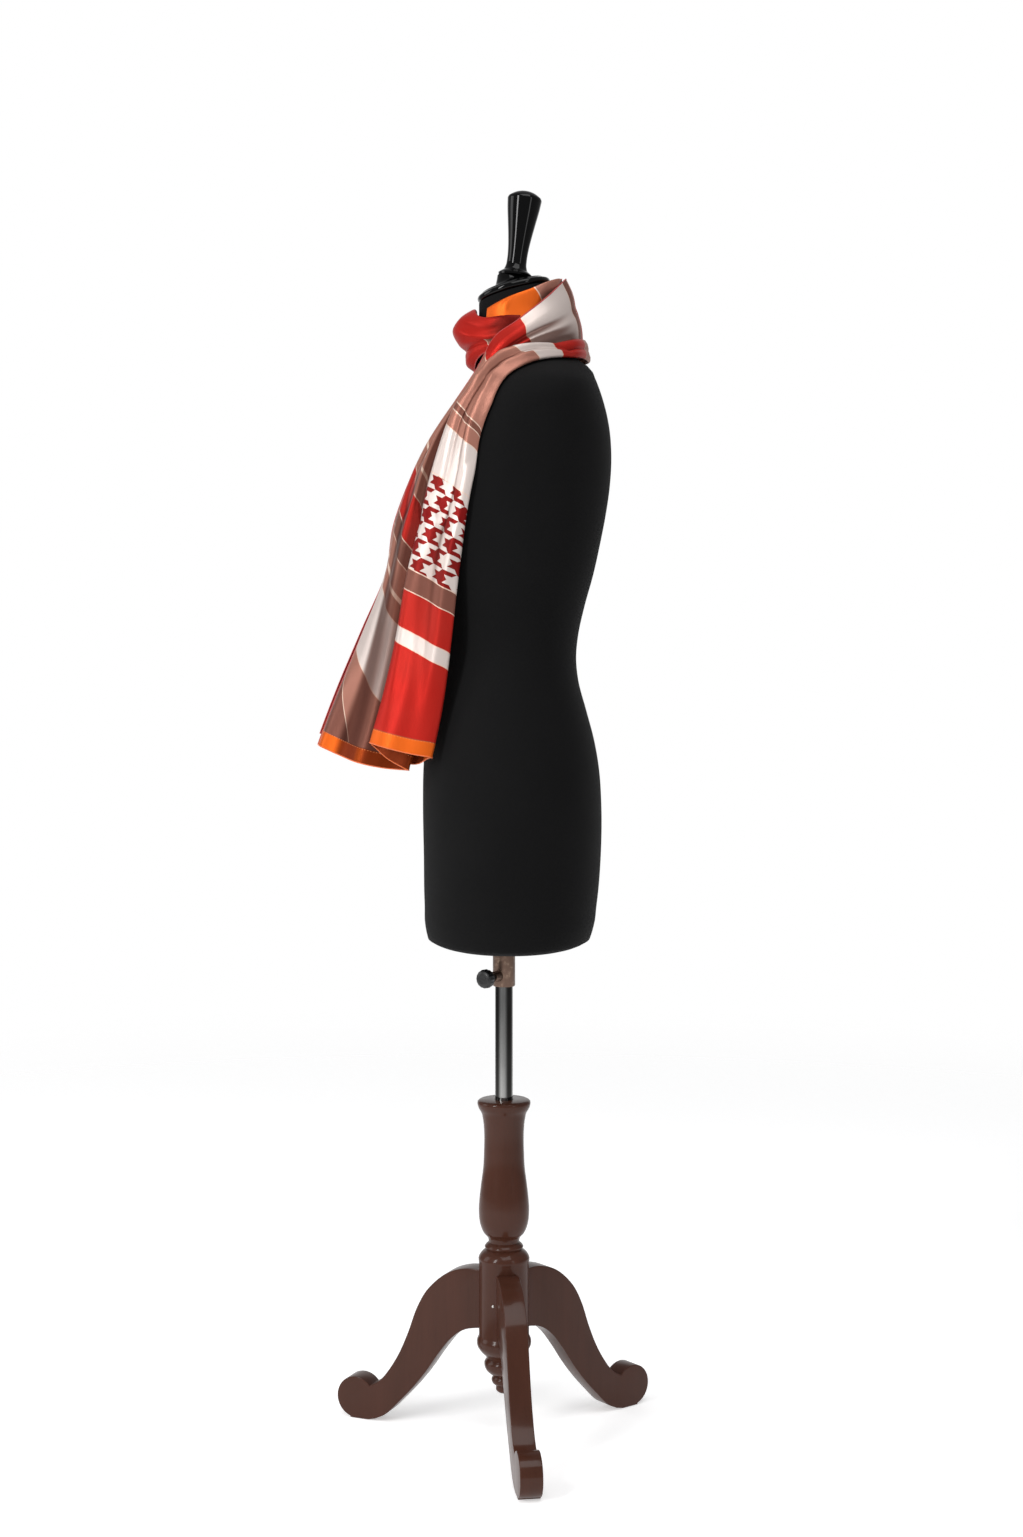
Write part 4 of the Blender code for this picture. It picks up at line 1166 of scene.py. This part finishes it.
def threadTree(name, inputs, kinds, settings, links):
    # a Geometry Nodes tree that ends in a thread's finish
    tree = bpy.data.node_groups.new(name, "GeometryNodeTree")
    for label, kind in {"Geometry": "Geometry", **inputs, "Thread": "Material"}.items():
        tree.interface.new_socket(label, in_out="INPUT", socket_type="NodeSocket" + kind)
    tree.interface.new_socket("Geometry", in_out="OUTPUT", socket_type="NodeSocketGeometry")
    ends = {"given": "NodeGroupInput", "dress": "GeometryNodeSetMaterial", "result": "NodeGroupOutput"}
    links = (*links, ("given", "Thread", "dress", "Material"), ("dress", "Geometry", "result", "Geometry"))
    wired(tree, {**ends, **kinds}, settings, links)
    return tree


def rollTree():
    # a rolled edge: a soft tube along the cloth's edge
    kinds = {"circle": "GeometryNodeCurvePrimitiveCircle", "sweep": "GeometryNodeCurveToMesh"}
    return threadTree("rolledEdge", {"Roll radius": "Float", "Sides": "Int"}, kinds, (
        ("sweep", "Fill Caps", True),
    ), (
        ("given", "Roll radius", "circle", "Radius"),
        ("given", "Sides", "circle", "Resolution"),
        ("given", "Geometry", "sweep", "Curve"),
        ("circle", "Curve", "sweep", "Profile Curve"),
        ("sweep", "Mesh", "dress", "Geometry"),
    ))


def stitchTree():
    # a running stitch: a bead of thread at every step along a line
    kinds = {
        "walk": "GeometryNodeResampleCurve", "bead": "GeometryNodeMeshUVSphere",
        "size": "ShaderNodeCombineXYZ", "heading": "GeometryNodeInputTangent",
        "turn": "FunctionNodeAlignRotationToVector", "repeat": "GeometryNodeInstanceOnPoints",
        "real": "GeometryNodeRealizeInstances",
    }
    inputs = dict.fromkeys(("Pitch", "Length", "Width"), "Float")
    return threadTree("runningStitch", inputs, kinds, (
        ("walk", "mode", "LENGTH"),
        ("turn", "axis", "X"),
        ("bead", "Segments", 8),
        ("bead", "Rings", 5),
        ("bead", "Radius", 0.5),
    ), (
        ("given", "Geometry", "walk", "Curve"),
        ("given", "Pitch", "walk", "Length"),
        ("given", "Length", "size", "X"),
        ("given", "Width", "size", "Y"),
        ("given", "Width", "size", "Z"),
        ("heading", "Tangent", "turn", "Vector"),
        ("walk", "Curve", "repeat", "Points"),
        ("bead", "Mesh", "repeat", "Instance"),
        ("turn", "Rotation", "repeat", "Rotation"),
        ("size", "Vector", "repeat", "Scale"),
        ("repeat", "Instances", "real", "Geometry"),
        ("real", "Geometry", "dress", "Geometry"),
    ))


def alongLine(name, paths, tree, values):
    # runs a node tree along lines of points, in millimetres, and keeps the result as mesh
    curve = bpy.data.curves.new(name, "CURVE")
    curve.dimensions = "3D"
    for path in paths:
        spots = (np.asarray(path, float) + toPart) * millimetre
        spline = curve.splines.new("POLY")
        spline.points.add(len(spots) - 1)
        spline.points.foreach_set("co", np.column_stack([spots, np.ones(len(spots))]).ravel())
    line = placed(name + "_line", curve)
    build = line.modifiers.new("build", "NODES")
    build.node_group = tree
    for item in tree.interface.items_tree:
        if item.item_type == "SOCKET" and item.in_out == "INPUT" and item.name in values:
            build[item.identifier] = values[item.name]
    made = evaluated(line)
    made.shade_smooth()
    bpy.data.objects.remove(line, do_unlink=True)
    piece = placed(name, made)
    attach(piece, "form")
    return piece


def makeStole():
    look = clothLook
    shape = endShape
    tube, stitch = rollTree(), stitchTree()
    threads = {name: threadFinish(name, colour) for name, colour in look["threads"].items()}

    def rolled(name, edges, thread):
        values = {"Roll radius": look["rollRadius"] * millimetre, "Sides": 8, "Thread": threads[thread]}
        return alongLine(name, edges, tube, values)

    plain = (0, 0, 0)
    tucked = (shape["napeInsets"], shape["napeRaises"], plain, shape["farShorter"])
    for name, values, blocks in (
        ("left", (1, 0, plain, plain, shape["napeCurls"], 0, 1.3), nearPrint),
        ("right", (-1, shape["farStart"], *tucked, 6.2), farPrint),
    ):
        grid, cut = endGrid(*values)
        finish = silkFinish("silk_" + name, "mauve", blocks, hem=True)
        cloth = clothPiece("silk_end_" + name, grid, cut, finish, f"stole_{name}_end", pleatShade(cut))
        hem = rolled(f"hem_roll_{name}", [grid[-1]], "rolledOrange")
        sides = rolled(f"side_roll_{name}", [grid[:, 0], grid[:, -1]], "rolledRed")
        level = silkLook["hemDeep"] - look["stitchBelow"]
        row = int(np.argmin(np.abs(cut[:, :, 1].mean(axis=1) - level)))
        sizes = {"Pitch": look["stitchPitch"], "Length": look["stitchLength"], "Width": look["stitchWide"]}
        sizes = {key: value * millimetre for key, value in sizes.items()}
        stitches = alongLine(f"hem_stitches_{name}", [grid[row]], stitch,
                             {**sizes, "Thread": threads["stitchThread"]})
        print(name, "end made,", len(cloth.data.polygons), "faces")
    for name, (grid, cut, shade), ground, blocks, edges, flat in (
        ("throat_band", throatGrid(), "red", throatPrint, (0, -1), (0.13, 0.18)),
        ("inner_band", innerGrid(), "mauve", innerPrint, (-1,), (0.085, 0.23)),
    ):
        finish = silkFinish("silk_" + name, ground, blocks)
        cloth = clothPiece("silk_" + name, grid, cut, finish, "stole_" + name, shade)
        edge = rolled("roll_" + name, [grid[:, column] for column in edges], "rolledRed")
        print(name, "made,", len(cloth.data.polygons), "faces")


cameraView = {
    "distance": 2550.0, "height": 907.0, "aside": 9.0, "lens": 49.77, "sensor": 36, "shift": -0.0576,
    "clipEnd": 60,
}


def makeCamera():
    view = cameraView
    lens = bpy.data.cameras.new("camera")
    lens.sensor_fit = "VERTICAL"
    lens.sensor_height = view["sensor"]
    lens.lens = view["lens"]
    lens.shift_y = view["shift"]
    lens.clip_end = view["clipEnd"]
    camera = placed("camera", lens)
    camera.location = (np.array((view["distance"], view["aside"], view["height"])) + toPart) * millimetre
    camera.rotation_euler = (math.radians(90), 0, math.radians(90))
    bpy.context.scene.camera = camera


studio = {
    "backdrop": (1.0, 1.0, 1.0, 1),
    "backdropEdge": (-0.74, -0.89),
    "room": (0.31, 0.31, 0.315, 1),
    "floor": 0.9,
    "floorGlow": 0.45,
    "floorReach": 6.0,
    "floorLevel": -0.0005,
    "floorFade": (1.1, 3.4),
    "lamps": (  # name, place, aim, wide, high, watts
        ("key", (2.4, -2.3, 2.1), (0, 0, 0.9), 0.6, 2.4, 74),
        ("fill", (2.6, 2.6, 1.6), (0, 0, 0.9), 0.5, 2.2, 10),
        ("top", (1.3, 0.4, 3.3), (0, 0, 0.8), 2.0, 2.0, 40),
        ("front", (-0.2, -3.2, 1.6), (0, 0, 1.0), 1.4, 2.2, 22),
    ),
}


def makeStudio():
    # a white backdrop behind the part on the side away from the camera, and a dimmer room all round
    scene = bpy.context.scene
    scene.world = bpy.data.worlds.new("studio")
    scene.world.use_nodes = True
    kinds = {
        "heading": "ShaderNodeTexCoord", "split": "ShaderNodeSeparateXYZ",
        "share": "ShaderNodeMapRange", "shade": "ShaderNodeMix", "background": "Background",
    }
    start, end = studio["backdropEdge"]
    wired(scene.world.node_tree, kinds, (
        ("share", "interpolation_type", "SMOOTHSTEP"),
        ("share", "From Min", start),
        ("share", "From Max", end),
        ("shade", "data_type", "RGBA"),
        ("shade", 6, studio["room"]),
        ("shade", 7, studio["backdrop"]),
    ), (
        ("heading", "Generated", "split", 0),
        ("split", "X", "share", "Value"),
        ("share", "Result", "shade", 0),
        ("shade", 2, "background", "Color"),
    ))
    makeFloor()
    for name, place, aim, wide, high, watts in studio["lamps"]:
        lamp = bpy.data.lights.new(name, "AREA")
        lamp.shape = "RECTANGLE"
        lamp.size = wide
        lamp.size_y = high
        lamp.energy = watts
        made = placed(name, lamp)
        made.location = place
        made.rotation_euler = (Vector(aim) - Vector(place)).to_track_quat("-Z", "Y").to_euler()
    scene.view_settings.view_transform = "Standard"
    print("studio made")


def makeFloor():
    # a pale square that fades out all round before its edges
    reach, level = studio["floorReach"], studio["floorLevel"]
    mesh = bpy.data.meshes.new("floor")
    corners = [(reach * x, reach * y, level) for x, y in ((-1, -1), (1, -1), (1, 1), (-1, 1))]
    mesh.from_pydata(corners, [], [(0, 1, 2, 3)])
    glow = {"Emission_Color": (1, 1, 1, 1), "Emission_Strength": studio["floorGlow"]}
    paint = Paint("floorPaint", (studio["floor"],) * 3, 0.9, **glow, Specular_IOR_Level=0.1)
    distance = paint.node("VectorMath", {"operation": "LENGTH"}, {0: paint.place()}, 1)
    paint.set("Alpha", paint.smooth(distance, *studio["floorFade"], 1, 0))
    mesh.materials.append(paint.material)
    placed("floor", mesh)


makeCamera()
makeStudio()
makeForm(jerseyFinish())
makeStand(lacquerFinish(), chromeFinish(), pinFinish())
makeCap(glossFinish())
makeClamp(bronzeFinish(), knobFinish())
makeStole()
